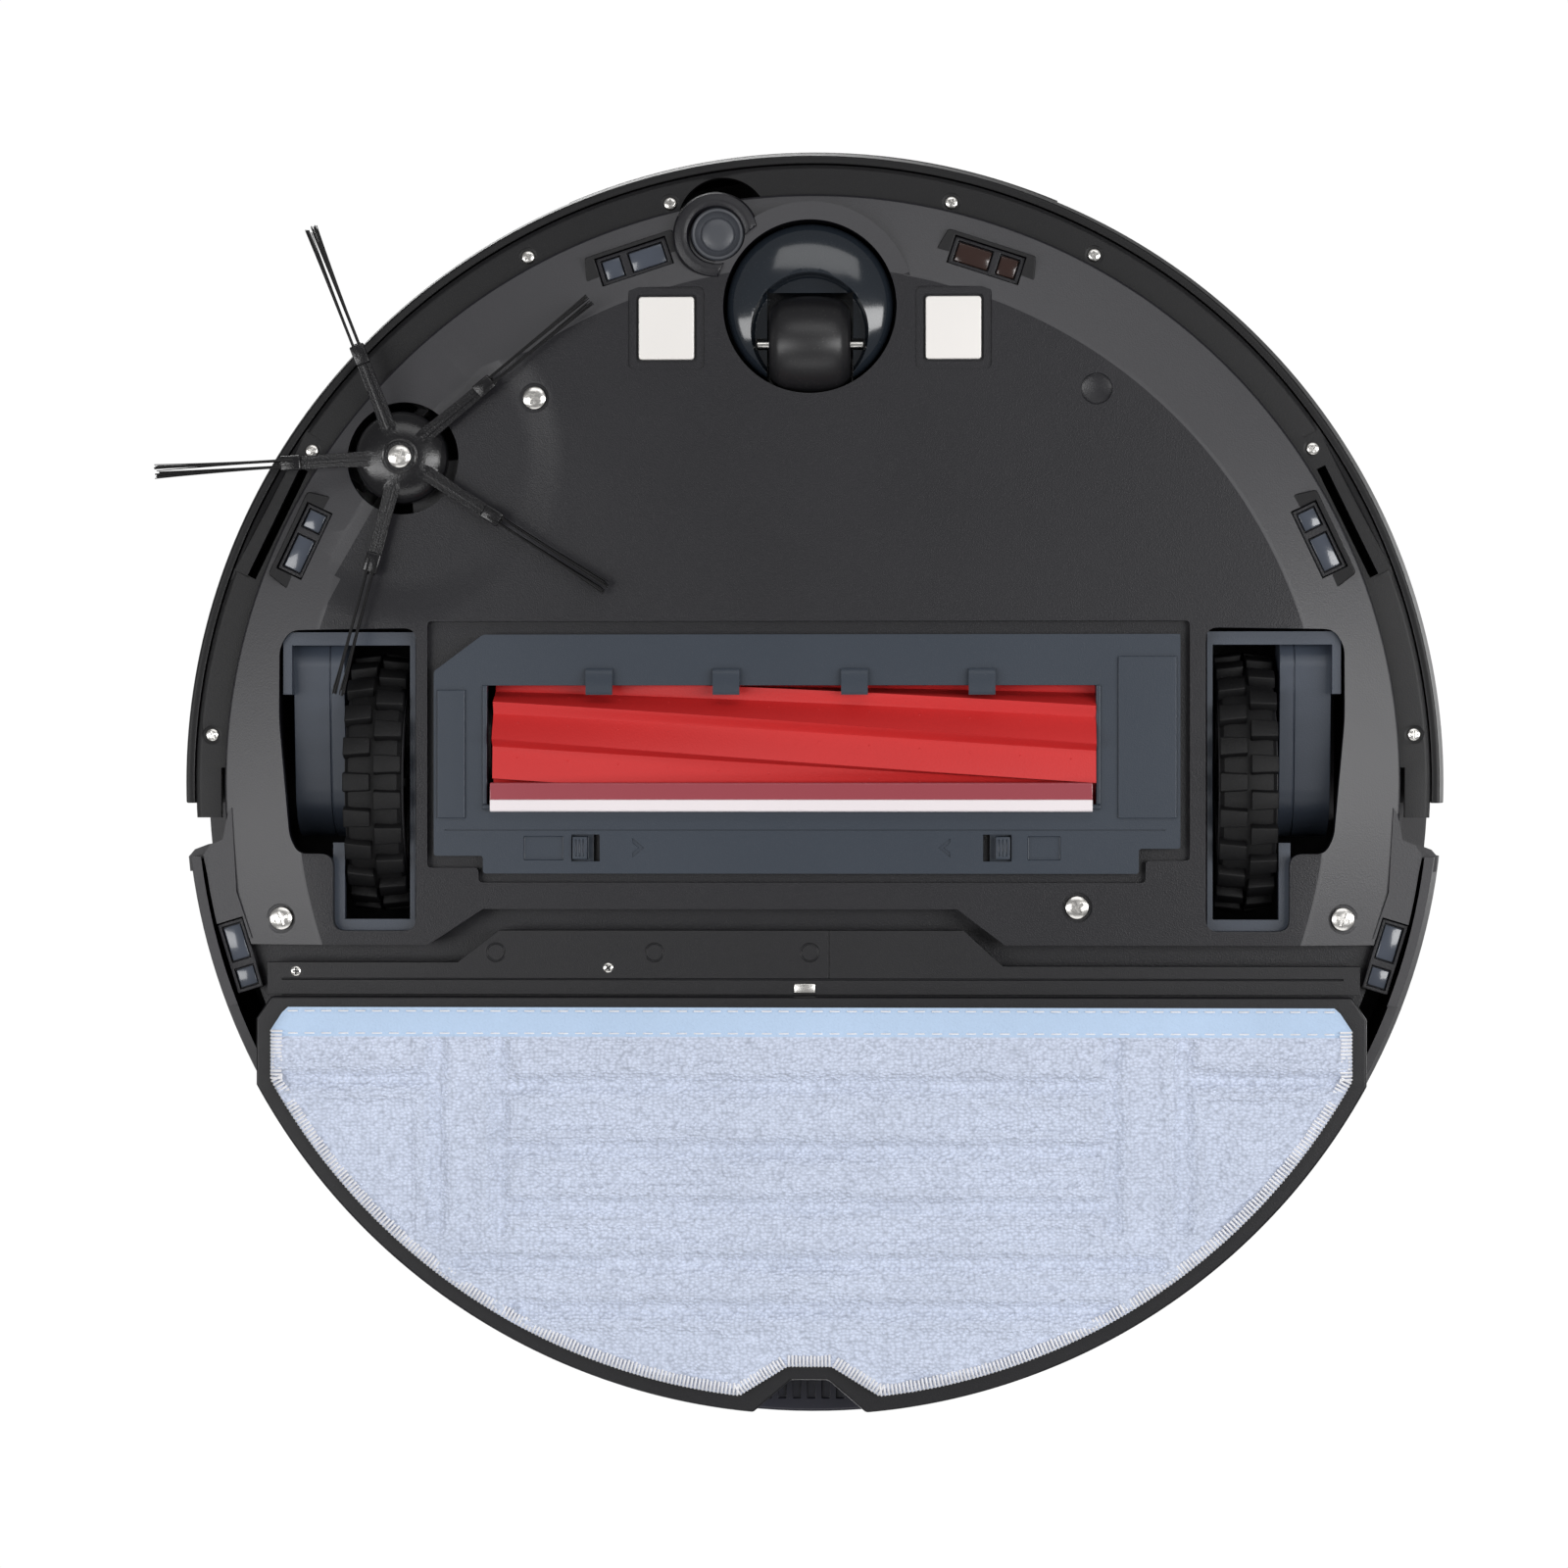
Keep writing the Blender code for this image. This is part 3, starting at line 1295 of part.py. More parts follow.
def mop():
    """Lifting carrier, the mop plate that slides out of it and the cloth under the plate."""
    carrier_rear = BODY_RADIUS - 0.0200
    corner = math.degrees(math.acos(0.1451 / carrier_rear))
    contour = [
        (-0.1480, 0.0490),
        (-0.0960, 0.0490),
        (-0.0847, 0.0403),
        (0.0418, 0.0403),
        (0.0524, 0.0500),
        (0.1490, 0.0500),
    ]
    carrier = plate(
        "mop_carrier",
        contour + arc(carrier_rear, corner, 180 - corner, 20),
        MOP_TOP + 0.0006,
        CARRIER_TOP,
        BLACK,
    )
    strip = contour + [(0.1490, MOP_FRONT - 0.0004), (-0.1480, MOP_FRONT - 0.0004)]
    join(carrier, plate("carrier strip", strip, 0.0086, CARRIER_TOP - 0.001))
    holder = plate(
        "mop_plate",
        mop_outline(MOP_FRONT, MOP_HALF, MOP_RADIUS, (0.0153, 0.0050, MOP_RADIUS - 0.0095)),
        MOP_BOTTOM,
        MOP_TOP,
        BLACK,
    )
    cloth = plate(
        "mop_cloth",
        mop_outline(CLOTH_FRONT, 0.1462, CLOTH_RADIUS, (0.0190, 0.0060, CLOTH_RADIUS - 0.0090)),
        CLOTH_BOTTOM,
        MOP_BOTTOM - GAP,
        CLOTH,
    )
    lift = on_joint("joint_mop_lift", (0.0, MOP_FRONT, CARRIER_TOP), carrier)
    on_joint("joint_mop_plate", (0.0, MOP_FRONT, MOP_TOP), holder, cloth, carrier=lift)


def water_tank():
    """Tank that slides out of the rear, its back following the body, with a latch button."""
    profile = [(0.0, TANK_BOTTOM), (BODY_RADIUS - 0.0030, TANK_BOTTOM)]
    profile += shell_outside(SKIRT_BOTTOM)[1:]
    profile += [(0.0, DECK_BOTTOM - 0.0006)]
    tank = turned("water_tank", profile[::-1], SMOKE)
    side = TANK_HALF
    cut(
        tank,
        block("tank front", (-FAR, -FAR, 0.0), (FAR, TANK_FRONT, FAR)),
        block("tank left", (-FAR, -FAR, 0.0), (-side, FAR, FAR)),
        block("tank right", (side, -FAR, 0.0), (FAR, FAR, FAR)),
    )
    inner_low, inner_high = TANK_BOTTOM + TANK_WALL, DECK_BOTTOM - 0.0006 - TANK_WALL
    cut(
        tank,
        block(
            "tank space wide",
            (-side + TANK_WALL, TANK_FRONT + TANK_WALL, inner_low),
            (side - TANK_WALL, 0.1260, inner_high),
        ),
        block("tank space deep", (-0.0700, 0.1200, inner_low), (0.0700, 0.1500, inner_high)),
        rod("filler", 0.0110, inner_high - 0.002, FAR, (0.0700, 0.1000)),
    )
    pocket_y = BODY_RADIUS - 0.0130
    cut(tank, block("latch pocket", (-0.0160, pocket_y, LATCH_BOTTOM), (0.0160, FAR, LATCH_TOP)))
    button = turned("tank_latch", profile[::-1], DARK)
    cut(
        button,
        block("button front", (-FAR, -FAR, 0.0), (FAR, pocket_y + 0.0030, FAR)),
        block("button left", (-FAR, -FAR, 0.0), (-0.0160 + FIT, FAR, FAR)),
        block("button right", (0.0160 - FIT, -FAR, 0.0), (FAR, FAR, FAR)),
        block("button low", (-FAR, -FAR, 0.0), (FAR, FAR, LATCH_BOTTOM + FIT)),
        block("button high", (-FAR, -FAR, LATCH_TOP - FIT), (FAR, FAR, FAR)),
    )
    slide = on_joint("joint_water_tank", (0.0, BODY_RADIUS, 0.050), tank)
    on_joint("joint_tank_latch", (0.0, BODY_RADIUS, 0.048), button, carrier=slide)


def build():
    bottom_chassis()
    upper_shell()
    keys()
    dust_lid()
    bumper()
    inner_parts()
    brush_housing()
    main_brush()
    brush_cover()
    caster()
    side_brush()
    for side in (-1, 1):
        drive_wheel(side)
    sensors_and_contacts()
    chassis_screws()
    turret()
    mop()
    water_tank()


clear_scene()
PARTS = new_collection("robot_vacuum")
CUTTERS = new_collection("cutters")
build()
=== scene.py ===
"""Robot vacuum with a lifting mop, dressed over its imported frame, in metres with +Z up."""

import math
import random

import bmesh
import bpy
from mathutils import Matrix, Vector


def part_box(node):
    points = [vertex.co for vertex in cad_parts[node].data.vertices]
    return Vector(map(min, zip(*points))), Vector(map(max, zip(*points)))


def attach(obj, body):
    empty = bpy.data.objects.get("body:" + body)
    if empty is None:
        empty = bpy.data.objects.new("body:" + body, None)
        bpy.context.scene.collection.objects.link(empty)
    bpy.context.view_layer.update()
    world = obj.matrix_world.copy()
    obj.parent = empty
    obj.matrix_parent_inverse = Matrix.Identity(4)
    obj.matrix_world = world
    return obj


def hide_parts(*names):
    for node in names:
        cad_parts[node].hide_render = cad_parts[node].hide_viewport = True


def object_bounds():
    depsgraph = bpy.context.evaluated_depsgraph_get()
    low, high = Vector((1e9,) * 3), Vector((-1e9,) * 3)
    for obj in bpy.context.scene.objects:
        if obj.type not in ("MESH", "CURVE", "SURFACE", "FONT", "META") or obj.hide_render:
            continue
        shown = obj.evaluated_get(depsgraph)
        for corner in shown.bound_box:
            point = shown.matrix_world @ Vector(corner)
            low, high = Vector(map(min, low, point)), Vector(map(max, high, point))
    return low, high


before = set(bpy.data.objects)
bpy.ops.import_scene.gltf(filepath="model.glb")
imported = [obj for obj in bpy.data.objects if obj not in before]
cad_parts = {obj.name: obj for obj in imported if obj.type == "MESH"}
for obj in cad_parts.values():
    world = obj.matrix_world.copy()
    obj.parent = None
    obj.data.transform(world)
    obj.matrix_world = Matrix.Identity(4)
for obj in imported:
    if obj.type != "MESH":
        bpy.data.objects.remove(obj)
cad_low, cad_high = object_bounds()


# --- Studio -----------------------------------------------------------------
# Pale sweep under the robot, painted on its upper side only, because the robot is
# also looked at from under the floor. Large soft boxes hang above and below.

def soft_box(name, place, aim, size, watts):
    """A rectangular area light that never shows itself."""
    lamp = bpy.data.lights.new(name, "AREA")
    lamp.shape = "RECTANGLE"
    lamp.size, lamp.size_y = size
    lamp.energy = watts
    hung = bpy.data.objects.new(name, lamp)
    hung.location = place
    hung.rotation_mode = "QUATERNION"
    hung.rotation_quaternion = (Vector(aim) - Vector(place)).to_track_quat("-Z", "Y")
    hung.visible_camera = False
    bpy.context.scene.collection.objects.link(hung)
    return hung


sweep_mesh = bpy.data.meshes.new("sweep")
sweep_mesh.from_pydata([(-4, -4, 0), (4, -4, 0), (4, 4, 0), (-4, 4, 0)], [], [(0, 1, 2, 3)])
sweep = bpy.data.objects.new("sweep", sweep_mesh)
bpy.context.scene.collection.objects.link(sweep)
sweep_paint = bpy.data.materials.new("sweep paper")
sweep_paint.use_nodes = True
paper = sweep_paint.node_tree.nodes
paper_links = sweep_paint.node_tree.links
paper["Principled BSDF"].inputs["Base Color"].default_value = (0.80, 0.80, 0.80, 1)
paper["Principled BSDF"].inputs["Roughness"].default_value = 0.9
see_through = paper.new("ShaderNodeBsdfTransparent")
which_side = paper.new("ShaderNodeNewGeometry")
paper_mix = paper.new("ShaderNodeMixShader")
paper_links.new(which_side.outputs["Backfacing"], paper_mix.inputs["Fac"])
paper_links.new(paper["Principled BSDF"].outputs["BSDF"], paper_mix.inputs[1])
paper_links.new(see_through.outputs["BSDF"], paper_mix.inputs[2])
paper_links.new(paper_mix.outputs["Shader"], paper["Material Output"].inputs["Surface"])
sweep_mesh.materials.append(sweep_paint)
sweep.visible_shadow = False
sweep.visible_diffuse = False
sweep.visible_glossy = False

soft_box("low front box", (0.1, -0.95, -1.15), (0.0, 0.0, 0.0), (1.3, 0.5), 3.8)
soft_box("low left box", (-0.92, 0.10, -1.20), (0.0, 0.0, 0.02), (0.42, 1.3), 9.6)
soft_box("low right box", (0.95, -0.05, -1.20), (0.0, 0.0, 0.02), (0.42, 1.3), 13.5)
soft_box("low rear box", (0.0, 1.10, -1.00), (0.0, 0.1, 0.0), (1.4, 0.6), 3.4)
soft_box("high front box", (-0.6, -1.5, 1.5), (0.0, 0.0, 0.04), (1.4, 1.0), 34.0)
soft_box("high side box", (1.6, -0.3, 1.2), (0.0, 0.0, 0.04), (0.9, 1.3), 18.0)
soft_box("high rear box", (-0.4, 1.6, 1.4), (0.0, 0.0, 0.04), (1.2, 0.9), 16.0)

world = bpy.data.worlds.new("studio air")
world.use_nodes = True
bpy.context.scene.world = world
air = world.node_tree.nodes
air["Background"].inputs["Color"].default_value = (1, 1, 1, 1)
air["Background"].inputs["Strength"].default_value = 0.22
backdrop = air.new("ShaderNodeBackground")
backdrop.inputs["Color"].default_value = (1, 1, 1, 1)
backdrop.inputs["Strength"].default_value = 1.02
eye_ray = air.new("ShaderNodeLightPath")
air_mix = air.new("ShaderNodeMixShader")
world.node_tree.links.new(eye_ray.outputs["Is Camera Ray"], air_mix.inputs["Fac"])
world.node_tree.links.new(air["Background"].outputs["Background"], air_mix.inputs[1])
world.node_tree.links.new(backdrop.outputs["Background"], air_mix.inputs[2])
world.node_tree.links.new(air_mix.outputs["Shader"], air["World Output"].inputs["Surface"])
bpy.context.scene.view_settings.view_transform = "Standard"

EYE = Vector((0.031, 0.0, -1.21))
LOOKED_AT = Vector((-0.008, 0.0005, 0.040))
eye = bpy.data.objects.new("eye", bpy.data.cameras.new("eye"))
eye.data.sensor_width = 36.0
eye.data.lens = 103.0
eye_back = (EYE - LOOKED_AT).normalized()
eye_right = Vector((0, -1, 0)).cross(eye_back).normalized()
eye_up = eye_back.cross(eye_right)
eye.matrix_world = Matrix.Translation(EYE) @ Matrix((eye_right, eye_up, eye_back)).transposed().to_4x4()
bpy.context.scene.collection.objects.link(eye)
bpy.context.scene.camera = eye


# --- Floor shell ------------------------------------------------------------
# The robot's dished underside, injection moulded in black ABS with a fine spark-eroded
# grain. It carries the wheel wells, the caster's cup and every opening underneath.

BODY_RADIUS = cad_high.y
BODY_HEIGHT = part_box("upper_shell")[1].z
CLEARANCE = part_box("bottom_chassis")[0].z
FAR = 0.5
FINE = 240
WELD = 0.000002


def fine_skin():
    """Shader group: blotches of colour, sheen spread and a fine moulded grain."""
    group = bpy.data.node_groups.new("moulded skin", "ShaderNodeTree")
    plug = group.interface.new_socket
    plug("Colour", in_out="INPUT", socket_type="NodeSocketColor")
    for name, value in (
        ("Variation", 0.1), ("Roughness", 0.5), ("Spread", 0.08), ("Grain Scale", 2500.0), ("Dust", 0.0)
    ):
        plug(name, in_out="INPUT", socket_type="NodeSocketFloat").default_value = value
    plug("Colour", in_out="OUTPUT", socket_type="NodeSocketColor")
    plug("Roughness", in_out="OUTPUT", socket_type="NodeSocketFloat")
    plug("Height", in_out="OUTPUT", socket_type="NodeSocketFloat")
    nodes, links = group.nodes, group.links
    given, made = nodes.new("NodeGroupInput"), nodes.new("NodeGroupOutput")
    where = nodes.new("ShaderNodeTexCoord")
    blotch = nodes.new("ShaderNodeTexNoise")
    grain = nodes.new("ShaderNodeTexNoise")
    pits = nodes.new("ShaderNodeTexVoronoi")
    blotch.inputs["Scale"].default_value = 22.0
    blotch.inputs["Detail"].default_value = 5.0
    grain.inputs["Detail"].default_value = 3.0
    for texture in (blotch, grain, pits):
        links.new(where.outputs["Object"], texture.inputs["Vector"])
    links.new(given.outputs["Grain Scale"], grain.inputs["Scale"])
    links.new(given.outputs["Grain Scale"], pits.inputs["Scale"])

    def maths(operation, first, second):
        node = nodes.new("ShaderNodeMath")
        node.operation = operation
        for socket, value in zip(node.inputs, (first, second)):
            if isinstance(value, (int, float)):
                socket.default_value = value
            else:
                links.new(value, socket)
        return node.outputs[0]

    swing = maths("SUBTRACT", blotch.outputs["Fac"], 0.5)
    fine_swing = maths("SUBTRACT", grain.outputs["Fac"], 0.5)
    shade = maths("ADD", maths("MULTIPLY", swing, 2.0), maths("MULTIPLY", fine_swing, 0.9))
    gain = maths("ADD", 1.0, maths("MULTIPLY", shade, given.outputs["Variation"]))
    tinted = nodes.new("ShaderNodeVectorMath")
    tinted.operation = "SCALE"
    links.new(given.outputs["Colour"], tinted.inputs[0])
    links.new(gain, tinted.inputs["Scale"])
    dusted = nodes.new("ShaderNodeMix")
    dusted.data_type = "RGBA"
    dusted.inputs[7].default_value = (0.30, 0.29, 0.27, 1)
    dust = maths("MULTIPLY", given.outputs["Dust"], maths("GREATER_THAN", grain.outputs["Fac"], 0.66))
    links.new(dust, dusted.inputs[0])
    links.new(tinted.outputs[0], dusted.inputs[6])
    links.new(dusted.outputs[2], made.inputs["Colour"])
    rough = maths("ADD", given.outputs["Roughness"], maths("MULTIPLY", swing, given.outputs["Spread"]))
    links.new(rough, made.inputs["Roughness"])
    links.new(maths("ADD", grain.outputs["Fac"], pits.outputs["Distance"]), made.inputs["Height"])
    return group


MOULDED_SKIN = fine_skin()


def finish_of(
    name, colour, roughness=0.5, grain=2500.0, depth=0.00004, variation=0.10, spread=0.10, dust=0.0, **sockets
):
    """A material on the moulded skin, with any further Principled sockets set outright."""
    made = bpy.data.materials.new(name)
    made.use_nodes = True
    nodes, links = made.node_tree.nodes, made.node_tree.links
    surface = nodes["Principled BSDF"]
    skin = nodes.new("ShaderNodeGroup")
    skin.node_tree = MOULDED_SKIN
    skin.inputs["Colour"].default_value = (*colour, 1)
    for socket, value in ((
        "Variation", variation
    ), ("Roughness", roughness), ("Spread", spread), ("Grain Scale", grain), ("Dust", dust)):
        skin.inputs[socket].default_value = value
    bump = nodes.new("ShaderNodeBump")
    bump.inputs["Strength"].default_value = 0.5
    bump.inputs["Distance"].default_value = depth
    links.new(skin.outputs["Colour"], surface.inputs["Base Color"])
    links.new(skin.outputs["Roughness"], surface.inputs["Roughness"])
    links.new(skin.outputs["Height"], bump.inputs["Height"])
    links.new(bump.outputs["Normal"], surface.inputs["Normal"])
    for socket, value in sockets.items():
        surface.inputs[socket.replace("_", " ")].default_value = value
    return made


def lay_in(name, mesh, look=None):
    """Links a mesh into the scene as an object."""
    made = bpy.data.objects.new(name, mesh)
    bpy.context.scene.collection.objects.link(made)
    if look:
        mesh.materials.append(look)
    return made


def shade(thing, degrees=35):
    thing.data.shade_smooth()
    thing.data.set_sharp_from_angle(angle=math.radians(degrees))
    return thing


def from_bmesh(name, bm, look=None, degrees=35):
    bmesh.ops.recalc_face_normals(bm, faces=bm.faces)
    if bm.calc_volume(signed=True) < 0:
        bmesh.ops.reverse_faces(bm, faces=bm.faces)
    mesh = bpy.data.meshes.new(name)
    bm.to_mesh(mesh)
    bm.free()
    return shade(lay_in(name, mesh, look), degrees)


def lathe(name, profile, look=None, centre=(0, 0, 0), steps=FINE, axis="Z", ring=False, side=1):
    """A (radius, height) profile turned about Z, or about X; a ring closes on itself."""
    bm = bmesh.new()
    count = len(profile)
    wheel = []
    for r, h in profile:
        if r < 1e-7:
            wheel.append([bm.verts.new((0, 0, h))])
        else:
            wheel.append([bm.verts.new(
                (r * math.cos(math.tau * i / steps), r * math.sin(math.tau * i / steps), h)
            ) for i in range(steps)])
    for a in range(count if ring else count - 1):
        first, second = wheel[a], wheel[(a + 1) % count]
        for i in range(steps):
            j = (i + 1) % steps
            corners = {
                first[i % len(first)]: 1, first[j % len(first)]: 1, second[j % len(second)]: 1,
                second[i % len(second)]: 1
            }
            if len(corners) > 2:
                bm.faces.new(list(corners))
    turn = Matrix.Rotation(side * math.pi / 2, 4, "Y") if axis == "X" else Matrix()
    bm.transform(Matrix.Translation(centre) @ turn)
    return from_bmesh(name, bm, look)


def slab(name, outline, low, high, look=None):
    """A flat (x, y) outline between two heights."""
    bm = bmesh.new()
    foot = [bm.verts.new((x, y, low)) for x, y in outline]
    head = [bm.verts.new((x, y, high)) for x, y in outline]
    bm.faces.new(foot[::-1])
    bm.faces.new(head)
    for i in range(len(outline)):
        j = (i + 1) % len(outline)
        bm.faces.new((foot[i], foot[j], head[j], head[i]))
    return from_bmesh(name, bm, look)


def box(name, low, high, look=None, edge=0.0, turn=0.0, centre=None):
    """A block between two corners, with rounded edges; centre and turn place it slanted."""
    low, high = Vector(low), Vector(high)
    bm = bmesh.new()
    bmesh.ops.create_cube(
        bm, size=1.0, matrix=Matrix.Translation((low + high) / 2) @ Matrix.Diagonal((*(high - low), 1))
    )
    if edge:
        bmesh.ops.bevel(
            bm, geom=bm.edges[:], offset=edge, segments=3, profile=0.5, affect="EDGES", clamp_overlap=True
        )
    if centre is not None:
        bm.transform(Matrix.Translation((*centre, 0)) @ Matrix.Rotation(turn, 4, "Z"))
    return from_bmesh(name, bm, look)


def post(name, radius, low, high, centre, look=None, axis="Z", steps=48):
    """A round bar between two heights, or between two X values."""
    profile = [(0, low), (radius, low), (radius, high), (0, high)]
    if axis == "X":
        return lathe(name, profile, look, (0, *centre), steps, "X")
    return lathe(name, profile, look, (*centre, 0), steps)


def settle(thing):
    """Replaces an object's mesh by what its modifiers make of it."""
    bpy.context.view_layer.update()
    made = bpy.data.meshes.new_from_object(thing.evaluated_get(bpy.context.evaluated_depsgraph_get()))
    thing.modifiers.clear()
    thing.data = made
    return thing


def work(target, tools, operation, solver="EXACT"):
    for tool in tools:
        step = target.modifiers.new(tool.name, "BOOLEAN")
        step.operation = operation
        step.solver = solver
        step.object = tool
    settle(target)
    for tool in tools:
        bpy.data.objects.remove(tool, do_unlink=True)
    return target


def cut(target, *tools, solver="EXACT"):
    return work(target, tools, "DIFFERENCE", solver)


def join(target, *tools, solver="EXACT"):
    return work(target, tools, "UNION", solver)


def clean(thing):
    """Merges points closer than a few microns, where that leaves the mesh closed."""
    bm = bmesh.new()
    bm.from_mesh(thing.data)
    bmesh.ops.remove_doubles(bm, verts=bm.verts, dist=WELD)
    bmesh.ops.dissolve_degenerate(bm, edges=bm.edges, dist=WELD)
    if all(edge.is_manifold for edge in bm.edges):
        bm.to_mesh(thing.data)
    bm.free()


def soften(thing, width=0.0003, segments=2, degrees=35, weld=False):
    """Rounds every sharp edge, as any moulded piece has."""
    edge = thing.modifiers.new("soft edges", "BEVEL")
    edge.width = width
    edge.segments = segments
    edge.limit_method = "ANGLE"
    edge.angle_limit = math.radians(40)
    settle(thing)
    if weld:
        clean(thing)
    shade(thing, degrees)
    even = thing.modifiers.new("even faces", "WEIGHTED_NORMAL")
    even.keep_sharp = True
    even.weight = 100
    return settle(thing)


def arc(radius, start, end, steps, centre=(0, 0)):
    turns = [math.radians(start + (end - start) * i / steps) for i in range(steps + 1)]
    return [(centre[0] + radius * math.cos(t), centre[1] + radius * math.sin(t)) for t in turns]


def handed(points, side):
    moved = [(side * x, y) for x, y in points]
    return moved if side > 0 else moved[::-1]


def rounded(points, radius, steps=4):
    """An outline with each corner replaced by a short curve."""
    out = []
    for i, here in enumerate(points):
        before, here, after = Vector(points[i - 1]), Vector(here), Vector(points[(i + 1) % len(points)])
        reach = min(radius, (before - here).length * 0.45, (after - here).length * 0.45)
        start, end = here + (before - here).normalized() * reach, here + (after - here).normalized() * reach
        for k in range(steps + 1):
            t = k / steps
            out.append(tuple((1 - t) ** 2 * start + 2 * t * (1 - t) * here + t * t * end))
    return out


def rim_point(inset, bearing):
    """A place inset from the body's radius, at a bearing in degrees from the front towards +X."""
    reach = BODY_RADIUS - inset
    return (reach * math.sin(math.radians(bearing)), -reach * math.cos(math.radians(bearing)))


BLACK_ABS = finish_of("black spark-eroded ABS", (
    0.0045, 0.0042, 0.0070
), 0.39, 2600, 0.00006, 0.14, 0.10, 0.02, Specular_IOR_Level=0.44)
# A lighter copy of the black ABS for the slope round the flat: a painted highlight for the side light that
# the slope catches.
SLOPE_HIGHLIGHT_ABS = finish_of("slope ABS with painted highlight", (0.0400, 0.0395, 0.0435), 0.40, 2200, 0.00004, 0.10, 0.08, 0.01)
FLOOR_SKIN = 0.003
FLAT_R, LIP_R, CORE_R = BODY_RADIUS - 0.0355, BODY_RADIUS - 0.015, BODY_RADIUS - 0.025
CORE_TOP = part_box("bottom_chassis")[1].z
LIP = CLEARANCE + 0.006
REAR_EDGE = 0.0443
REAR_CONTOUR = [
    (-0.104, REAR_EDGE), (-0.089, REAR_EDGE - 0.0098), (0.040, REAR_EDGE - 0.0098), (0.053, REAR_EDGE)
]
REAR_FLOOR = 0.020
WELL_IN, WELL_OUT, WELL_FRONT, WELL_REAR, WELL_FLOOR = 0.1073, 0.1430, -0.042, 0.041, 0.0122
NOTCH_X = BODY_RADIUS - 0.0145
CASTER_Y = 0.0462 - BODY_RADIUS
CASTER_R = 0.0236
SIDE_BRUSH = rim_point(0.03344, -51.52)
CARPET_SENSOR = rim_point(0.0243, -9.56)
BAY = (-0.1042, 0.1030, -0.0438, 0.0273)


def well_outline(shape, side):
    """Outlines of a wheel well: its outer wall, its inner space or its opening."""
    grow = {"wall": 0.0020, "space": 0.0}.get(shape)
    if shape == "hole":
        points = [
            (WELL_IN, WELL_FRONT), (
                WELL_OUT - 0.001, WELL_FRONT + 0.0005
            ), (WELL_OUT + 0.002, WELL_FRONT + 0.005),
            (WELL_OUT + 0.002, -0.017), (WELL_OUT - 0.001, 0.015), (WELL_OUT - 0.0035, 0.0195),
            (0.130, 0.0195), (0.130, WELL_REAR - 0.0005), (WELL_IN, WELL_REAR - 0.0005),
        ]
        return handed(rounded(points, 0.0035, 5), side)
    points = [
        (WELL_IN - 0.0001 - grow, WELL_FRONT - 0.0005 - grow), (
            WELL_OUT + 0.0032 + grow, WELL_FRONT - 0.0005 - grow
        ),
        (WELL_OUT + 0.0032 + grow, 0.0200 + grow), (0.1330 + grow, 0.0200 + grow),
        (0.1330 + grow, WELL_REAR + grow), (WELL_IN - 0.0001 - grow, WELL_REAR + grow),
    ]
    return handed(points, side)


floor_shell = lathe("floor_shell", [
    (0, CLEARANCE + FLOOR_SKIN), (
        FLAT_R - 0.0005, CLEARANCE + FLOOR_SKIN
    ), (LIP_R - 0.002, LIP + 0.0028), (LIP_R, LIP + 0.0028),
    (LIP_R, LIP + 0.0004), (LIP_R - 0.0006, LIP - 0.0001), (
        FLAT_R + 0.0012, CLEARANCE + 0.0003
    ), (FLAT_R, CLEARANCE), (0, CLEARANCE),
], BLACK_ABS)
rear_cut = [(-FAR, REAR_EDGE), *REAR_CONTOUR, (FAR, REAR_EDGE), (FAR, FAR), (-FAR, FAR)]
cut(floor_shell, slab("behind", rear_cut, -0.01, 0.03), solver="MANIFOLD")


def on_the_floor(wall):
    """Trims a wall so that it starts inside the dished floor."""
    mid = CLEARANCE + FLOOR_SKIN / 2
    foot = lathe("foot", [(0, mid), (FLAT_R, mid), (LIP_R, mid + 0.006), (
        LIP_R + 0.01, mid + 0.006
    ), (LIP_R + 0.01, -0.01), (0, -0.01)], steps=72)
    return cut(wall, foot, solver="MANIFOLD")


rim_wall = lathe("rim wall", [
    (CORE_R - 0.0025, 0), (CORE_R, 0), (CORE_R, CORE_TOP), (CORE_R - 0.0025, CORE_TOP)
], ring=True, steps=120)
cut(rim_wall, box("rim end", (-FAR, 0.024, -0.01), (FAR, FAR, 0.1)), solver="MANIFOLD")
step_line = [(x, y - 0.0004) for x, y in [(-CORE_R, REAR_EDGE), *REAR_CONTOUR, (CORE_R, REAR_EDGE)]]
step_wall = slab(
    "step wall", step_line + [(x, y - 0.0025) for x, y in reversed(step_line)], 0.0, REAR_FLOOR + 0.0015
)
wing = LIP_R - 0.006
rear_line = [
    (x, y - 0.0014) for x, y in [(-wing, REAR_EDGE - 0.0006), *REAR_CONTOUR, (wing, REAR_EDGE - 0.0009)]
]
rear_floor = slab(
    "rear floor", rear_line + arc(BODY_RADIUS - 0.0135, 17, 163, 60), REAR_FLOOR, REAR_FLOOR + 0.0025
)
join(floor_shell, on_the_floor(rim_wall), on_the_floor(step_wall), rear_floor, solver="MANIFOLD")
for hand in (-1, 1):
    lobe = [(LIP_R - 0.002, 0.007), (
        LIP_R - 0.001, 0.0085
    ), (NOTCH_X, 0.0157), (LIP_R + 0.004, 0.0172), (LIP_R + 0.0058, 0.020)]
    lobe += arc(BODY_RADIUS - 0.0084, 8.5, 14.8, 12) + [
        (LIP_R - 0.0076, REAR_EDGE - 0.0016), (LIP_R - 0.0033, 0.030)
    ]
    join(
        floor_shell,
        slab("lobe", handed(lobe, hand), LIP - 0.0008, LIP + 0.0023),
        on_the_floor(slab("well wall", well_outline("wall", hand), 0.0, 0.056)),
        solver="MANIFOLD",
    )
    cut(
        floor_shell,
        slab("well space", well_outline("space", hand), WELL_FLOOR, 0.058),
        slab("well hole", well_outline("hole", hand), 0.0, WELL_FLOOR + 0.001),
        solver="MANIFOLD",
    )
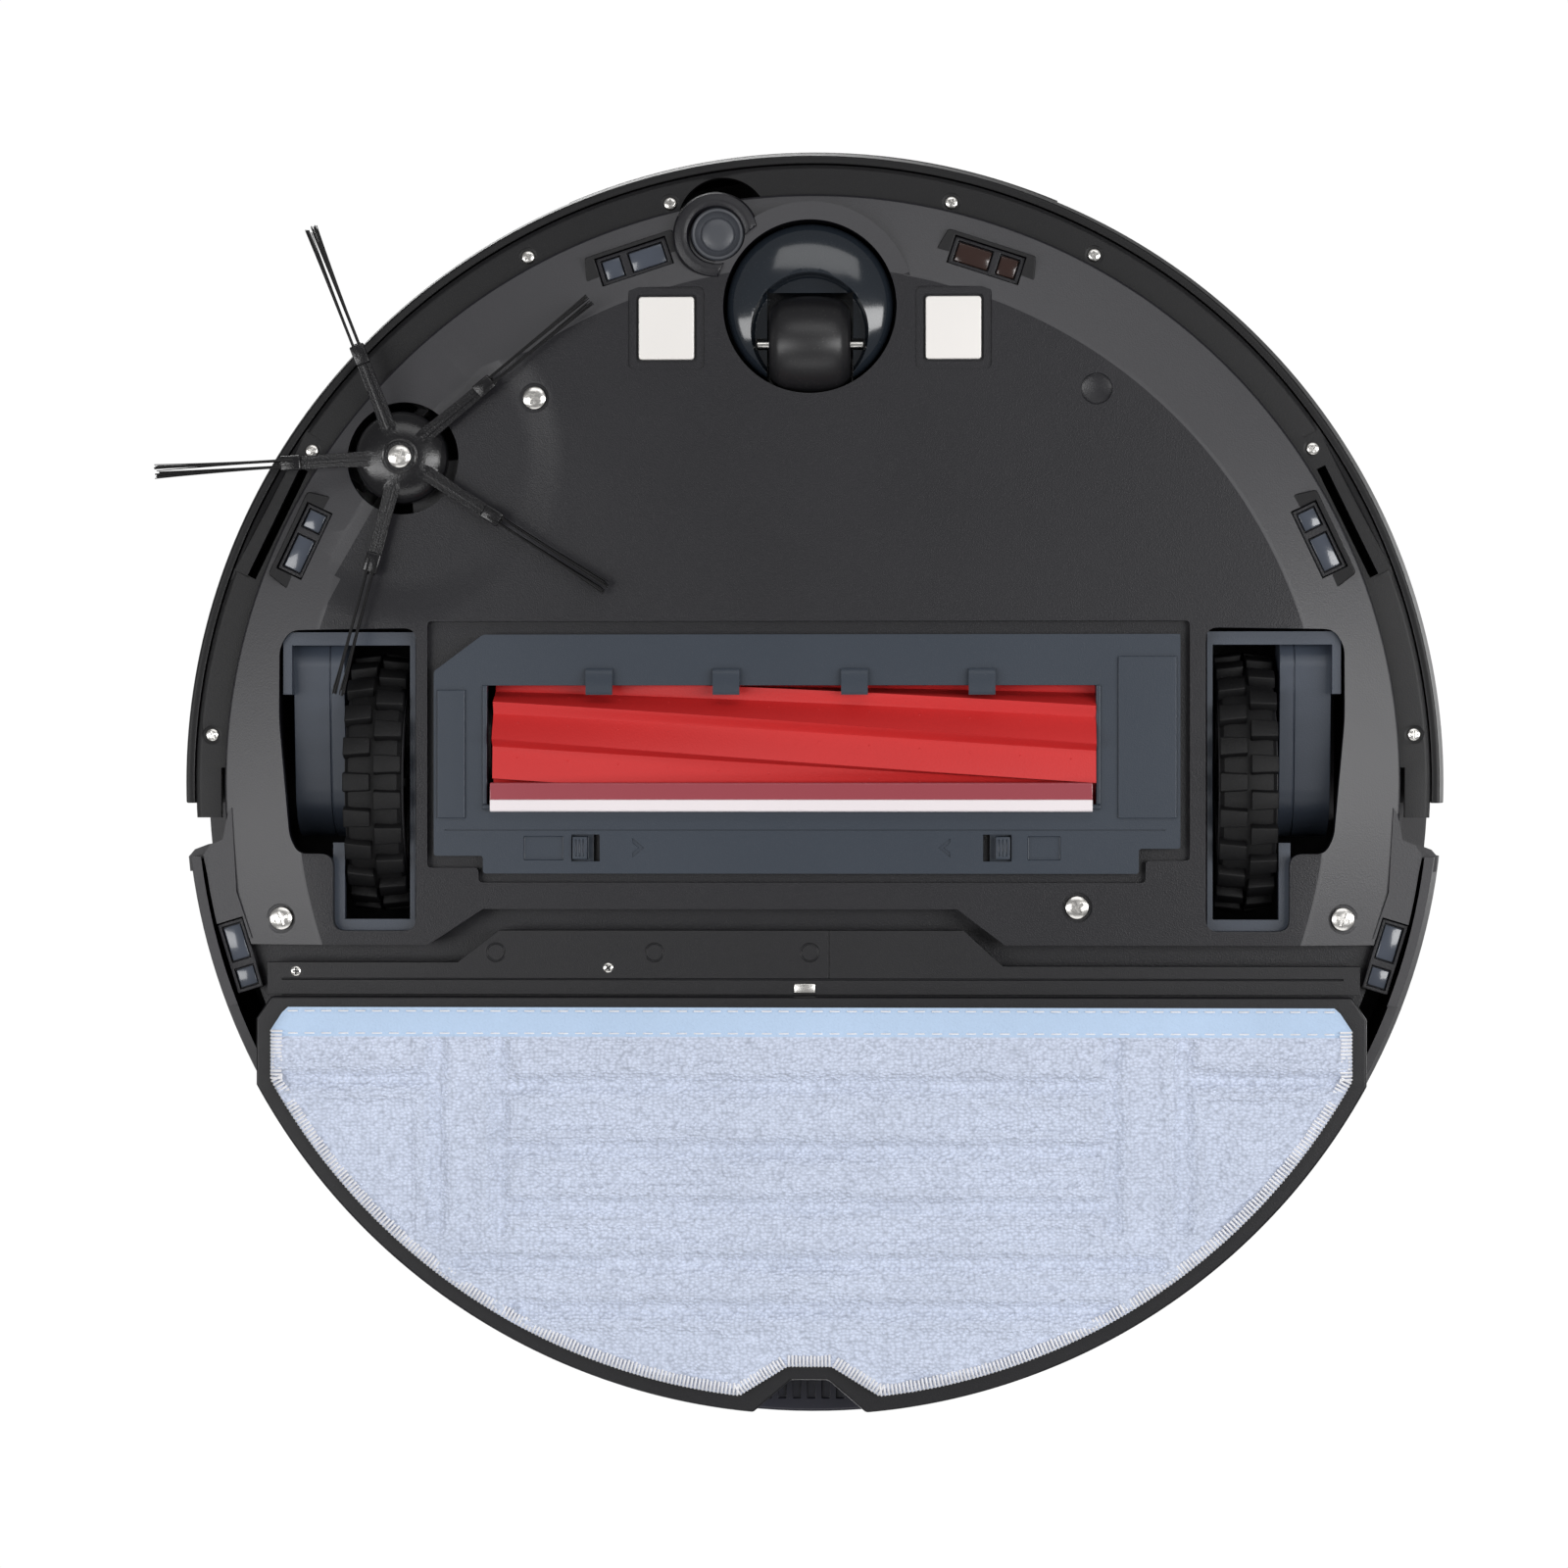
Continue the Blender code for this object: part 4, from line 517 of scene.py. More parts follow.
caster_cup = lathe("caster cup", [
    (0.0032, 0.031), (CASTER_R - 0.001, 0.031), (CASTER_R - 0.001, 0.0095), (CASTER_R + 0.0018, 0.0095),
    (CASTER_R + 0.0018, 0.033), (0.0032, 0.033),
], centre=(0, CASTER_Y, 0), steps=96, ring=True)
join(floor_shell, post(
    "caster pad", CASTER_R + 0.0049, CLEARANCE + 0.00005, 0.0135, (0, CASTER_Y), steps=96
), caster_cup, solver="MANIFOLD")
bay_line = [
    (BAY[0], BAY[2]), (BAY[1], BAY[2]), (BAY[1], BAY[3] - 0.006), (
        BAY[1] - 0.012, BAY[3] - 0.006
    ), (BAY[1] - 0.012, BAY[3]),
    (BAY[0] + 0.014, BAY[3]), (BAY[0] + 0.014, BAY[3] - 0.004), (BAY[0], BAY[3] - 0.004),
]
cut(
    floor_shell,
    post("caster hole", CASTER_R, 0.0, 0.031, (0, CASTER_Y), steps=96),
    slab("bay", rounded(bay_line, 0.0012, 3), 0.0, 0.012),
    post("side brush hole", 0.0154, 0.0, 0.030, SIDE_BRUSH, steps=64),
    post("carpet sensor hole", 0.0075, 0.0, 0.0245, CARPET_SENSOR),
    solver="MANIFOLD",
)

CLIFF_SENSORS = []
for hand, word in ((-1, "left"), (1, "right")):
    for where, inset, bearing, turn in (
        ("front", 0.02561, 18.68, 18.0), ("side", 0.02226, 64.49, 64.5), ("rear", 0.01205, 106.9, 107.0)
    ):
        CLIFF_SENSORS.append((
            f"cliff_sensor_{where}_{word}", rim_point(inset, hand * bearing), hand * math.radians(turn), hand
        ))
for name, place, turn, hand in CLIFF_SENSORS:
    half_x, half_y = (0.0103, 0.0041) if "front" in name else (0.0101, 0.0040)
    cut(floor_shell, box(
        "sensor hole", (-half_x, -half_y, 0), (half_x, half_y, 0.0205), turn=turn, centre=place
    ), solver="MANIFOLD")
CONTACTS = [(hand * 0.039, CASTER_Y + 0.0059) for hand in (-1, 1)]
for x, y in CONTACTS:
    frame_line = rounded([
        (x - 0.0104, y - 0.0113), (x + 0.0104, y - 0.0113), (x + 0.0104, y + 0.0113), (x - 0.0104, y + 0.0113)
    ], 0.002, 5)
    seat_line = rounded([
        (x - 0.0082, y - 0.0092), (x + 0.0082, y - 0.0092), (x + 0.0082, y + 0.0092), (x - 0.0082, y + 0.0092)
    ], 0.0012, 4)
    cut(floor_shell, slab(
        "frame", frame_line, 0.0, CLEARANCE + 0.0007
    ), slab("seat", seat_line, 0.0, CLEARANCE + 0.0015), solver="MANIFOLD")
SCREWS = {
    "chassis_screw_front": (-0.0750, -0.1046),
    "chassis_screw_rear_left": (-0.1446, 0.0372),
    "chassis_screw_rear_right": (0.1446, 0.0372),
    "chassis_screw_rear_inner": (0.0725, 0.0340),
}
for place in SCREWS.values():
    seat = CLEARANCE + 0.006 * min(max(0.0, (math.hypot(*place) - FLAT_R) / (LIP_R - FLAT_R)), 1.0)
    cut(
        floor_shell,
        post("screw seat", 0.0041, 0.0, seat + 0.0012, place),
        post("screw hole", 0.0019, 0.0, 0.030, place, steps=24),
        solver="MANIFOLD",
    )
# The dimple beside the front right screw boss, and the soft round dish under the side brush.
dimple = lathe("dimple", [(0, CLEARANCE + 0.0011), (0.0034, CLEARANCE + 0.0011), (
    0.0042, CLEARANCE + 0.0006
), (0.0043, CLEARANCE - 0.00002), (0.0043, 0), (0, 0)], centre=(0.0778, -0.1067, 0), steps=64)
dish = lathe("dish", [
    (0, CLEARANCE + 0.0013), (0.033, CLEARANCE + 0.0013), (
        0.037, CLEARANCE + 0.0010
    ), (0.041, CLEARANCE + 0.0004), (0.046, CLEARANCE - 0.0001), (0.046, 0), (0, 0),
], centre=(*SIDE_BRUSH, 0), steps=120)
cut(floor_shell, dimple, dish, solver="MANIFOLD")
soften(floor_shell, 0.00025, weld=True)
# The slope outside the flat takes a lighter copy of the black ABS, a painted highlight for the side light
# that the slope catches.
floor_shell.data.materials.append(SLOPE_HIGHLIGHT_ABS)
slope_slot = len(floor_shell.data.materials) - 1
for face in floor_shell.data.polygons:
    reach = math.hypot(face.center.x, face.center.y)
    if reach > FLAT_R + 0.0005 and face.center.z < LIP + 0.0005 and face.normal.z < -0.8:
        face.material_index = slope_slot
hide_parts("bottom_chassis")
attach(floor_shell, "vacuum")


# --- Deck and rear skirt ----------------------------------------------------
# The black top moulding: a flat deck with a rolled edge, the skirt round the rear and
# the two shoulders behind the bumper. The tank, lid, turret and keys sit in its openings.

DECK_LOW = BODY_HEIGHT - 0.003
TURRET = (0.0, -0.030)
TURRET_R, TURRET_CUP = 0.045, 0.039
LID_HALF, LID_FRONT, LID_REAR = 0.084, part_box("dust_lid")[0].y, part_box("dust_lid")[1].y
TANK_HALF, TANK_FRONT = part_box("water_tank")[1].x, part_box("water_tank")[0].y
SHOULDER_Y = 0.0204


def shell_line(bottom):
    """Half of the body's outer profile, flaring from its lower edge to the full radius."""
    line = [(BODY_RADIUS - 0.0050, bottom), (BODY_RADIUS - 0.0026, 0.026), (BODY_RADIUS - 0.0011, 0.034)]
    line += [(
        BODY_RADIUS - 0.0003, 0.042
    ), (BODY_RADIUS, 0.052), (BODY_RADIUS - 0.0001, 0.062), (BODY_RADIUS - 0.0002, 0.070)]
    return line + [(BODY_RADIUS - 0.0012, DECK_LOW - 0.0006)]


def key_line(index, grow):
    half = (0.011 if index == 0 else 0.008) - 0.0045
    return arc(
        0.0045 + grow, -90, 90, 16, (index * 0.034 + half, -0.120)
    ) + arc(0.0045 + grow, 90, 270, 16, (index * 0.034 - half, -0.120))


TOP_ABS = finish_of("satin black top ABS", (0.030, 0.029, 0.033), 0.42, 3200, 0.00003, 0.10, 0.08, 0.04)
top_shell = lathe("top_shell", [
    (0, BODY_HEIGHT), (BODY_RADIUS - 0.0055, BODY_HEIGHT), (
        BODY_RADIUS - 0.0036, BODY_HEIGHT - 0.0003
    ), (BODY_RADIUS - 0.0020, BODY_HEIGHT - 0.0010),
    (BODY_RADIUS - 0.0012, BODY_HEIGHT - 0.0019), (BODY_RADIUS - 0.0008, DECK_LOW), (0, DECK_LOW),
], TOP_ABS)
skirt_line = shell_line(0.012)[:-1] + [(BODY_RADIUS - 0.0010, DECK_LOW + 0.001)]
skirt = lathe("skirt", skirt_line + [(r - 0.0025, z) for r, z in reversed(skirt_line)], ring=True)
cut(skirt, box(
    "skirt front", (-FAR, -FAR, 0), (FAR, SHOULDER_Y, 0.1)
), box("over the mop", (-FAR, 0.061, 0), (FAR, FAR, 0.017)), solver="MANIFOLD")
join(top_shell, skirt, solver="MANIFOLD")
for hand in (-1, 1):
    shoulder = [(CORE_R + 0.001, 0.0099), (NOTCH_X, 0.0099), (NOTCH_X, 0.0155)]
    shoulder += [(NOTCH_X + 0.0012, 0.0164), (NOTCH_X + 0.0045, 0.0170), (BODY_RADIUS - 0.0063, 0.0184), (
        BODY_RADIUS - 0.0046, SHOULDER_Y
    )]
    shoulder += [(
        BODY_RADIUS - 0.0050, 0.0244
    ), (BODY_RADIUS - 0.0072, 0.0244), (BODY_RADIUS - 0.0075, 0.0214), (NOTCH_X + 0.003, 0.0192)]
    shoulder += [(NOTCH_X - 0.0025, 0.0175), (NOTCH_X - 0.0025, 0.0124), (CORE_R + 0.001, 0.0124)]
    join(top_shell, slab("shoulder", handed(shoulder, hand), 0.017, DECK_LOW + 0.001), solver="MANIFOLD")
cut(
    top_shell,
    box("tank space", (-TANK_HALF - 0.001, TANK_FRONT - 0.001, 0), (TANK_HALF + 0.001, FAR, DECK_LOW)),
    box("lid space", (
        -LID_HALF - 0.0004, LID_FRONT - 0.0004, 0.06
    ), (LID_HALF + 0.0004, LID_REAR + 0.0004, 0.09)),
    post("turret space", TURRET_CUP + 0.0004, 0.06, 0.09, TURRET, steps=96),
    *[slab("key space", key_line(index, 0.0004), 0.06, 0.09) for index in (-1, 0, 1)],
    solver="MANIFOLD",
)
# A fine groove sets the rear third of the deck off, and a finger dip eases the lid open.
groove = lathe("deck groove", [(BODY_RADIUS - 0.0125, BODY_HEIGHT - 0.0004), (
    BODY_RADIUS - 0.0117, BODY_HEIGHT - 0.0004
), (BODY_RADIUS - 0.0117, 0.09), (BODY_RADIUS - 0.0125, 0.09)], ring=True)
finger_dip = lathe("finger dip", [(0, BODY_HEIGHT - 0.0019), (0.007, BODY_HEIGHT - 0.0017), (
    0.0125, BODY_HEIGHT - 0.0008
), (0.0150, BODY_HEIGHT + 0.0003), (0, BODY_HEIGHT + 0.0003)], centre=(0, LID_REAR + 0.0010, 0), steps=72)
cut(top_shell, groove, finger_dip, solver="MANIFOLD")
soften(top_shell, 0.0003)
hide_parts("upper_shell")
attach(top_shell, "vacuum")


# --- Bumper -----------------------------------------------------------------
# A sprung half ring across the front. The satin skin flares upwards, and a rail closes
# its lower edge, held by small cross-head screws set in round seats.

BUMPER_ABS = finish_of("satin black bumper ABS", (
    0.0030, 0.0029, 0.0036
), 0.40, 3400, 0.00002, 0.08, 0.08, 0.0, Specular_IOR_Level=0.32)
RAIL_ABS = finish_of("black bumper rail ABS", (
    0.0034, 0.0033, 0.0042
), 0.44, 2800, 0.00004, 0.10, 0.10, 0.02, Specular_IOR_Level=0.34)
skin_line = shell_line(0.017)
skin_line[0] = (BODY_RADIUS - 0.0040, 0.0172)
skin_line.insert(0, (BODY_RADIUS - 0.0048, 0.0170))
skin_line += [
    (
        BODY_RADIUS - 0.0125, DECK_LOW - 0.0006
    ), (BODY_RADIUS - 0.0125, DECK_LOW - 0.0031), (BODY_RADIUS - 0.0030, DECK_LOW - 0.0031),
    (BODY_RADIUS - 0.0026, 0.050), (BODY_RADIUS - 0.0032, 0.040), (BODY_RADIUS - 0.0058, 0.024), (
        BODY_RADIUS - 0.0062, 0.0172
    ),
]
bumper = lathe("bumper", skin_line, BUMPER_ABS, ring=True, steps=300)
cut(bumper, box("bumper end", (-FAR, 0.0057, 0), (FAR, FAR, 0.1)), solver="MANIFOLD")
soften(bumper, 0.0003)
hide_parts("bumper_skin")
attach(bumper, "bumper")

RAIL_LOW, RAIL_OUT = 0.0173, BODY_RADIUS - 0.0065
rail = lathe("rail", [
    (LIP_R - 0.003, RAIL_LOW), (RAIL_OUT - 0.0016, RAIL_LOW), (
        RAIL_OUT - 0.0008, RAIL_LOW + 0.0005
    ), (RAIL_OUT, RAIL_LOW + 0.0008),
    (RAIL_OUT, RAIL_LOW + 0.003), (LIP_R - 0.003, RAIL_LOW + 0.003),
], RAIL_ABS, ring=True, steps=300)
cut(
    rail,
    box("rail end", (-FAR, 0.0097, 0), (FAR, FAR, 0.1)),
    box("beside the wall", (-NOTCH_X - 0.001, -0.004, 0), (NOTCH_X + 0.001, FAR, 0.1)),
    post("over the carpet sensor", 0.0125, 0, 0.03, rim_point(0.0206, -8.9), steps=72),
    post("over the caster", CASTER_R + 0.0065, 0, 0.03, (0, CASTER_Y), steps=96),
    solver="MANIFOLD",
)
RAIL_SCREWS = [(hand * x, y) for hand in (-1, 1) for x, y in (
    (0.0385, -0.1585), (0.0775, -0.1440), (0.1370, -0.0910), (0.1645, -0.0130)
)]
for hand in (-1, 1):
    cut(rail, box("slot", (-0.0165, -0.0013, 0), (
        0.0165, 0.0013, 0.03
    ), turn=hand * math.radians(64), centre=rim_point(0.0127, hand * 64.1)), solver="MANIFOLD")
    step_place = rim_point(0.0103, hand * 62.5)
    cut(rail, box("step", (-0.0215, -0.0022, 0), (
        0.0215, 0.0024, RAIL_LOW + 0.0007
    ), turn=hand * math.radians(62.5), centre=step_place), solver="MANIFOLD")
for x, y in RAIL_SCREWS:
    cut(rail, post(
        "seat", 0.0026, 0, RAIL_LOW + 0.0006, (x, y), steps=36
    ), post("hole", 0.0012, 0, 0.03, (x, y), steps=24), solver="MANIFOLD")
soften(rail, 0.0002)
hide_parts("bumper_rail")
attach(rail, "bumper")

# Smoked window for the docking sensor, let into the front of the skin.
SMOKED = finish_of("smoked window", (
    0.012, 0.009, 0.010
), 0.08, 900, 0.000002, 0.05, 0.03, 0.0, Coat_Weight=0.6, Coat_Roughness=0.05)
window = lathe("bumper_window", [
    (
        BODY_RADIUS - 0.0022, 0.0425
    ), (BODY_RADIUS + 0.0002, 0.0425), (BODY_RADIUS + 0.0005, 0.0435), (BODY_RADIUS + 0.0005, 0.0585),
    (BODY_RADIUS + 0.0002, 0.0595), (BODY_RADIUS - 0.0022, 0.0595),
], SMOKED, ring=True, steps=300)
window_keep = slab("window keep", [(0, 0), (-0.080, -0.19), (0.080, -0.19)], 0.0, 0.1)
work(window, [window_keep], "INTERSECT", "MANIFOLD")
soften(window, 0.0004)
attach(window, "bumper")


# --- Screws -----------------------------------------------------------------
# Plated pan-head screws with a cross recess. Four large ones hold the floor shell, small
# ones the bumper rail and the mop carrier, and one the side brush.

PLATED = finish_of(
    "bright plated steel", (0.70, 0.685, 0.66), 0.26, 5200, 0.000004, 0.10, 0.16, 0.02, Metallic=1.0
)


def screw_head(name, radius, low, high, centre, turn=0.0):
    """A domed head facing the floor, with a washer step and a cross recess."""
    x, y = centre
    rise = high - low
    head = lathe(name, [
        (0, low), (
            radius * 0.45, low + rise * 0.03
        ), (radius * 0.78, low + rise * 0.16), (radius * 0.95, low + rise * 0.38),
        (radius, low + rise * 0.62), (radius, high), (0, high),
    ], PLATED, (x, y, 0), 64)
    deep = low + rise * 0.72
    for quarter in (0, 1):
        arm = box("cross", (
            -radius * 0.60, -radius * 0.14, low - 0.001
        ), (radius * 0.60, radius * 0.14, deep), turn=turn + quarter * math.pi / 2, centre=centre)
        cut(head, arm)
    core = lathe("cross core", [(0, low - 0.001), (radius * 0.30, low - 0.001), (
        radius * 0.10, deep + rise * 0.1
    ), (0, deep + rise * 0.1)], centre=(x, y, 0), steps=24)
    cut(head, core)
    return soften(head, radius * 0.03, 1)


for number, (name, place) in enumerate(SCREWS.items()):
    low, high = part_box(name)
    head = screw_head(
        name.replace("chassis", "cross"), 0.0032, low.z, low.z + 0.0013, place, 0.5 + number * 0.7
    )
    shank = post("shank", 0.0015, low.z + 0.0012, high.z, place, PLATED, steps=20)
    join(head, shank)
    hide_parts(name)
    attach(head, "vacuum")
for number, place in enumerate(RAIL_SCREWS):
    head = screw_head(
        f"rail_screw_{number}", 0.0019, RAIL_LOW - 0.0001, RAIL_LOW + 0.0009, place, number * 0.9
    )
    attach(head, "bumper")


# --- Cliff sensors and carpet sensor ----------------------------------------
# Each cliff sensor is a black bezel with pointed ends that holds an emitter window and a
# receiver window. The carpet sensor is a round ultrasonic cell in stepped rings.

SENSOR_GLASS = finish_of(
    "blue-grey sensor window", (0.062, 0.072, 0.094), 0.16, 1200, 0.000004, 0.10, 0.06, 0.0, Coat_Weight=0.4
)
BROWN_GLASS = finish_of(
    "brown sensor window", (0.030, 0.014, 0.011), 0.12, 1200, 0.000004, 0.10, 0.06, 0.0, Coat_Weight=0.4
)
for name, place, turn, hand in CLIFF_SENSORS:
    low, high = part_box(name)
    kind = name.split("_")[2]
    half_x, half_y = (0.0100, 0.0038) if kind == "front" else (0.0098, 0.0036)
    bezel = box(name + "_bezel", (
        -half_x, -half_y, low.z + 0.0004
    ), (half_x, half_y, high.z), BLACK_ABS, turn=turn, centre=place)
    glass = BROWN_GLASS if name == "cliff_sensor_front_right" else SENSOR_GLASS
    # The short window is nearer the front of the robot on the side ones, the long one on the rear ones.
    split = {"front": 0.0022 * hand, "side": -0.0022 * hand, "rear": 0.0022 * hand}[kind]
    for first, last in ((-0.0088, split - 0.0010), (split + 0.0010, 0.0088)):
        pocket = box("pocket", (first, -half_y + 0.0009, 0), (
            last, half_y - 0.0009, low.z + 0.0021
        ), turn=turn, centre=place)
        cut(bezel, pocket)
        pane = box("pane", (
            first + 0.0003, -half_y + 0.0012, low.z + 0.0012
        ), (last - 0.0003, half_y - 0.0012, low.z + 0.0030), glass, 0.0003, turn, place)
        pane.name = f"{name}_pane_{'a' if first < split - 0.002 else 'b'}"
        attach(pane, "vacuum")
    soften(bezel, 0.00025)
    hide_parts(name)
    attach(bezel, "vacuum")
    # Pointed surround pressed into the shell round each sensor.
    if kind != "rear":
        points = [(-0.0125, -0.0050), (0.0125, -0.0050), (0.0150, 0.0058), (-0.0150, 0.0058)]
        ring_line = rounded([(x * hand, y) for x, y in points][::hand], 0.0008, 3)
        surround = slab(name + "_surround", ring_line, 0.0, 0.0022, RAIL_ABS)
        cut(surround, box(
            "opening", (-half_x - 0.0001, -half_y - 0.0001, -0.01), (half_x + 0.0001, half_y + 0.0001, 0.01)
        ))
        lift = low.z - 0.0008
        tilt = -0.10 if kind == "front" else -0.12
        surround.data.transform(Matrix.Translation((
            *place, lift
        )) @ Matrix.Rotation(turn, 4, "Z") @ Matrix.Rotation(-tilt, 4, "X"))
        soften(surround, 0.0004, 3)
        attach(surround, "vacuum")

CELL_GREY = finish_of("grey sensor cell", (0.052, 0.056, 0.066), 0.38, 2600, 0.00002, 0.08, 0.08, 0.02)
cell_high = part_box("carpet_sensor")[1]
cell = lathe("carpet_cell", [
    (0, cell_high.z), (
        0.0072, cell_high.z
    ), (0.0072, 0.0092), (0.0068, 0.0088), (0.0062, 0.0089), (0.0058, 0.0100), (0.0047, 0.0108),
    (0.0044, 0.0104), (0.0040, 0.0102), (0.0020, 0.0100), (0, 0.0100),
], CELL_GREY, (*CARPET_SENSOR, 0), 96)
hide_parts("carpet_sensor")
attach(cell, "vacuum")
collar = lathe("carpet_collar", [
    (0.0076, 0.0086), (0.0080, 0.0074), (
        0.0086, 0.0071
    ), (0.0098, 0.0071), (0.0112, 0.0076), (0.0118, 0.0090), (0.0118, 0.0140), (0.0076, 0.0140),
], BLACK_ABS, (CARPET_SENSOR[0] - 0.0004, CARPET_SENSOR[1] + 0.0004, 0), 96, ring=True)
cut(collar, post("clear of the caster", CASTER_R + 0.0026, 0, 0.03, (0, CASTER_Y), steps=96))
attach(collar, "vacuum")


# --- Charging contacts ------------------------------------------------------
# Two plated spring plates with softly rounded corners, set flush in moulded frames.

CONTACT_PLATE = finish_of(
    "matt plated contact", (0.80, 0.775, 0.75), 0.40, 7000, 0.000006, 0.03, 0.08, 0.02, Metallic=0.25
)
for (x, y), word in zip(CONTACTS, ("left", "right")):
    low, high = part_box(f"charging_contact_{word}")
    line = rounded([(low.x, low.y), (high.x, low.y), (high.x, high.y), (low.x, high.y)], 0.0010, 5)
    plate = soften(slab(f"contact_{word}", line, low.z, high.z, CONTACT_PLATE), 0.0004, 3)
    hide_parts(f"charging_contact_{word}")
    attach(plate, "vacuum")


# --- Caster -----------------------------------------------------------------
# A glossy slate dome that swivels in its cup and holds a barrel wheel on a steel axle.
# The dome is one turned shell with the wheel's mouth cut through it.

GLOSSY_SLATE = finish_of("glossy slate dome", (
    0.012, 0.016, 0.022
), 0.14, 1400, 0.000004, 0.05, 0.06, 0.02, Coat_Weight=0.35, Coat_Roughness=0.08)
BARREL = finish_of("hard black barrel wheel", (0.0100, 0.0098, 0.0112), 0.38, 2200, 0.00002, 0.10, 0.10, 0.08)
dome_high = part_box("caster_housing")[1]
axle_y = (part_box("caster_axle")[0].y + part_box("caster_axle")[1].y) / 2
axle_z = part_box("caster_wheel")[1].z / 2
edge = CASTER_R - 0.0009
dome_top = 0.0295
dome_line = [(0, dome_high.z), (0.0026, dome_high.z), (0.0026, dome_top), (edge, dome_top), (edge, 0.0115)]
dome_line += [
    (edge * math.cos(t), 0.0115 - 0.0071 * math.sin(t)) for t in [math.radians(9 * k) for k in range(1, 10)]
] + [(0, 0.0044)]
caster_dome = lathe("caster_dome", dome_line, GLOSSY_SLATE, (0, CASTER_Y, 0), 144)
mouth_half, mouth_reach = 0.0117, 0.0140
cut(
    caster_dome,
    box("mouth", (-mouth_half, axle_y - mouth_reach, -0.01), (
        mouth_half, CASTER_Y + 0.03, axle_z + mouth_reach
    )),
    lathe("arch", [
        (0, -0.01), (0.0160, -0.01), (0.0160, 0.0102), (0.0150, 0.0120), (0, 0.0120)
    ], centre=(0, axle_y - 0.0030, 0), steps=96),
    box("axle pocket", (-0.0150, axle_y - 0.0016, -0.01), (0.0150, axle_y + 0.0016, axle_z + 0.0016)),
)
soften(caster_dome, 0.0005, 3)
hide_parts("caster_housing")
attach(caster_dome, "caster")
barrel_line = [(0.0015, 0.0110), (0.0092, 0.0110), (0.0104, 0.0103)]
barrel_line += [(
    0.0112 + 0.0020 * math.cos(math.radians(a)), 0.0092 * math.sin(math.radians(a))
) for a in range(80, -81, -10)]
barrel_line += [(0.0104, -0.0103), (0.0092, -0.0110), (0.0015, -0.0110)]
barrel = lathe("caster_barrel", barrel_line, BARREL, (0, axle_y, axle_z), 96, "X", ring=True)
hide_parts("caster_wheel")
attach(barrel, "caster_roll_body")
spindle = soften(post("caster_spindle", 0.0012, -0.0145, 0.0145, (axle_y, axle_z), PLATED, "X", 32), 0.0002)
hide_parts("caster_axle")
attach(spindle, "caster_roll_body")


# --- Side brush -------------------------------------------------------------
# Five flat arms from a domed hub, each holding two bundles of black nylon filaments.
# The bundles spread a little towards their tips.

SOFT_BLACK = finish_of("polished black hub", (0.0060, 0.0058, 0.0070), 0.20, 2600, 0.00004, 0.10, 0.10, 0.05)
NYLON = finish_of("black nylon filament", (
    0.0050, 0.0048, 0.0054
), 0.34, 5200, 0.00001, 0.30, 0.20, 0.0, Specular_IOR_Level=0.30)
hub_centre = (*SIDE_BRUSH, 0)
hub = lathe("brush_hub", [
    (0.0017, 0.0140), (0.0034, 0.0140), (
        0.0034, 0.0115
    ), (0.0126, 0.0115), (0.0126, 0.0080), (0.0122, 0.0066), (0.0110, 0.0052), (0.0090, 0.0042),
    (
        0.0068, 0.0036
    ), (0.0048, 0.0034), (0.0044, 0.0037), (0.0040, 0.0034), (0.0036, 0.0034), (0.0017, 0.0034),
], SOFT_BLACK, hub_centre, 120, ring=True)
for k in range(5):
    aim = math.radians(-111.4 + 72 * k)
    arm = slab("arm", [(0.0080, -0.0021), (0.0200, -0.00185), (0.0318, -0.0018), (
        0.0330, -0.0012
    ), (0.0330, 0.0012), (0.0318, 0.0018), (0.0200, 0.00185), (0.0080, 0.0021)], 0.0042, 0.0058)
    arm.data.transform(Matrix.Translation(hub_centre) @ Matrix.Rotation(aim, 4, "Z"))
    rib = slab(
        "rib", [(0.0080, -0.0006), (0.0270, -0.0005), (0.0270, 0.0005), (0.0080, 0.0006)], 0.0036, 0.0050
    )
    rib.data.transform(Matrix.Translation(hub_centre) @ Matrix.Rotation(aim, 4, "Z"))
    join(hub, arm, rib)
soften(hub, 0.0003)
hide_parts("side_brush_hub")
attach(hub, "side_brush")

dice = random.Random(7)
tufts = bmesh.new()


def strand(bm, points, radius, sides=5):
    """A thin closed tube through points that lie roughly level."""
    rings = []
    for i, here in enumerate(points):
        ahead = (Vector(points[min(i + 1, len(points) - 1)]) - Vector(points[max(i - 1, 0)])).normalized()
        across = ahead.cross(Vector((0, 0, 1))).normalized()
        up = across.cross(ahead)
        ring = []
        for s in range(sides):
            t = math.tau * s / sides
            ring.append(bm.verts.new(Vector(here) + radius * (math.cos(t) * across + math.sin(t) * up)))
        rings.append(ring)
    for first, second in zip(rings, rings[1:]):
        for s in range(sides):
            bm.faces.new((first[s], first[(s + 1) % sides], second[(s + 1) % sides], second[s]))
    bm.faces.new(rings[0][::-1])
    bm.faces.new(rings[-1])


for k in range(5):
    aim = math.radians(-111.4 + 72 * k)
    for lane in (-1, 1):
        for _ in range(26):
            start, spread = lane * 0.00085 + dice.uniform(
                -0.00028, 0.00028
            ), lane * dice.uniform(-0.0002, 0.0006) + dice.uniform(-0.0004, 0.0004)
            height, tip = dice.uniform(0.0027, 0.0035), 0.0665 + dice.uniform(-0.0014, 0.0005)
            line = []
            for step in range(7):
                t = step / 6
                out, sway = 0.0290 + (tip - 0.0290) * t, start + spread * t * t
                line.append((
                    SIDE_BRUSH[0] + out * math.cos(aim) - sway * math.sin(aim),
                    SIDE_BRUSH[1] + out * math.sin(aim) + sway * math.cos(aim), height - 0.0002 * t
                ))
            strand(tufts, line, 0.000135)
bundles = from_bmesh("brush_bundles", tufts, NYLON, 60)
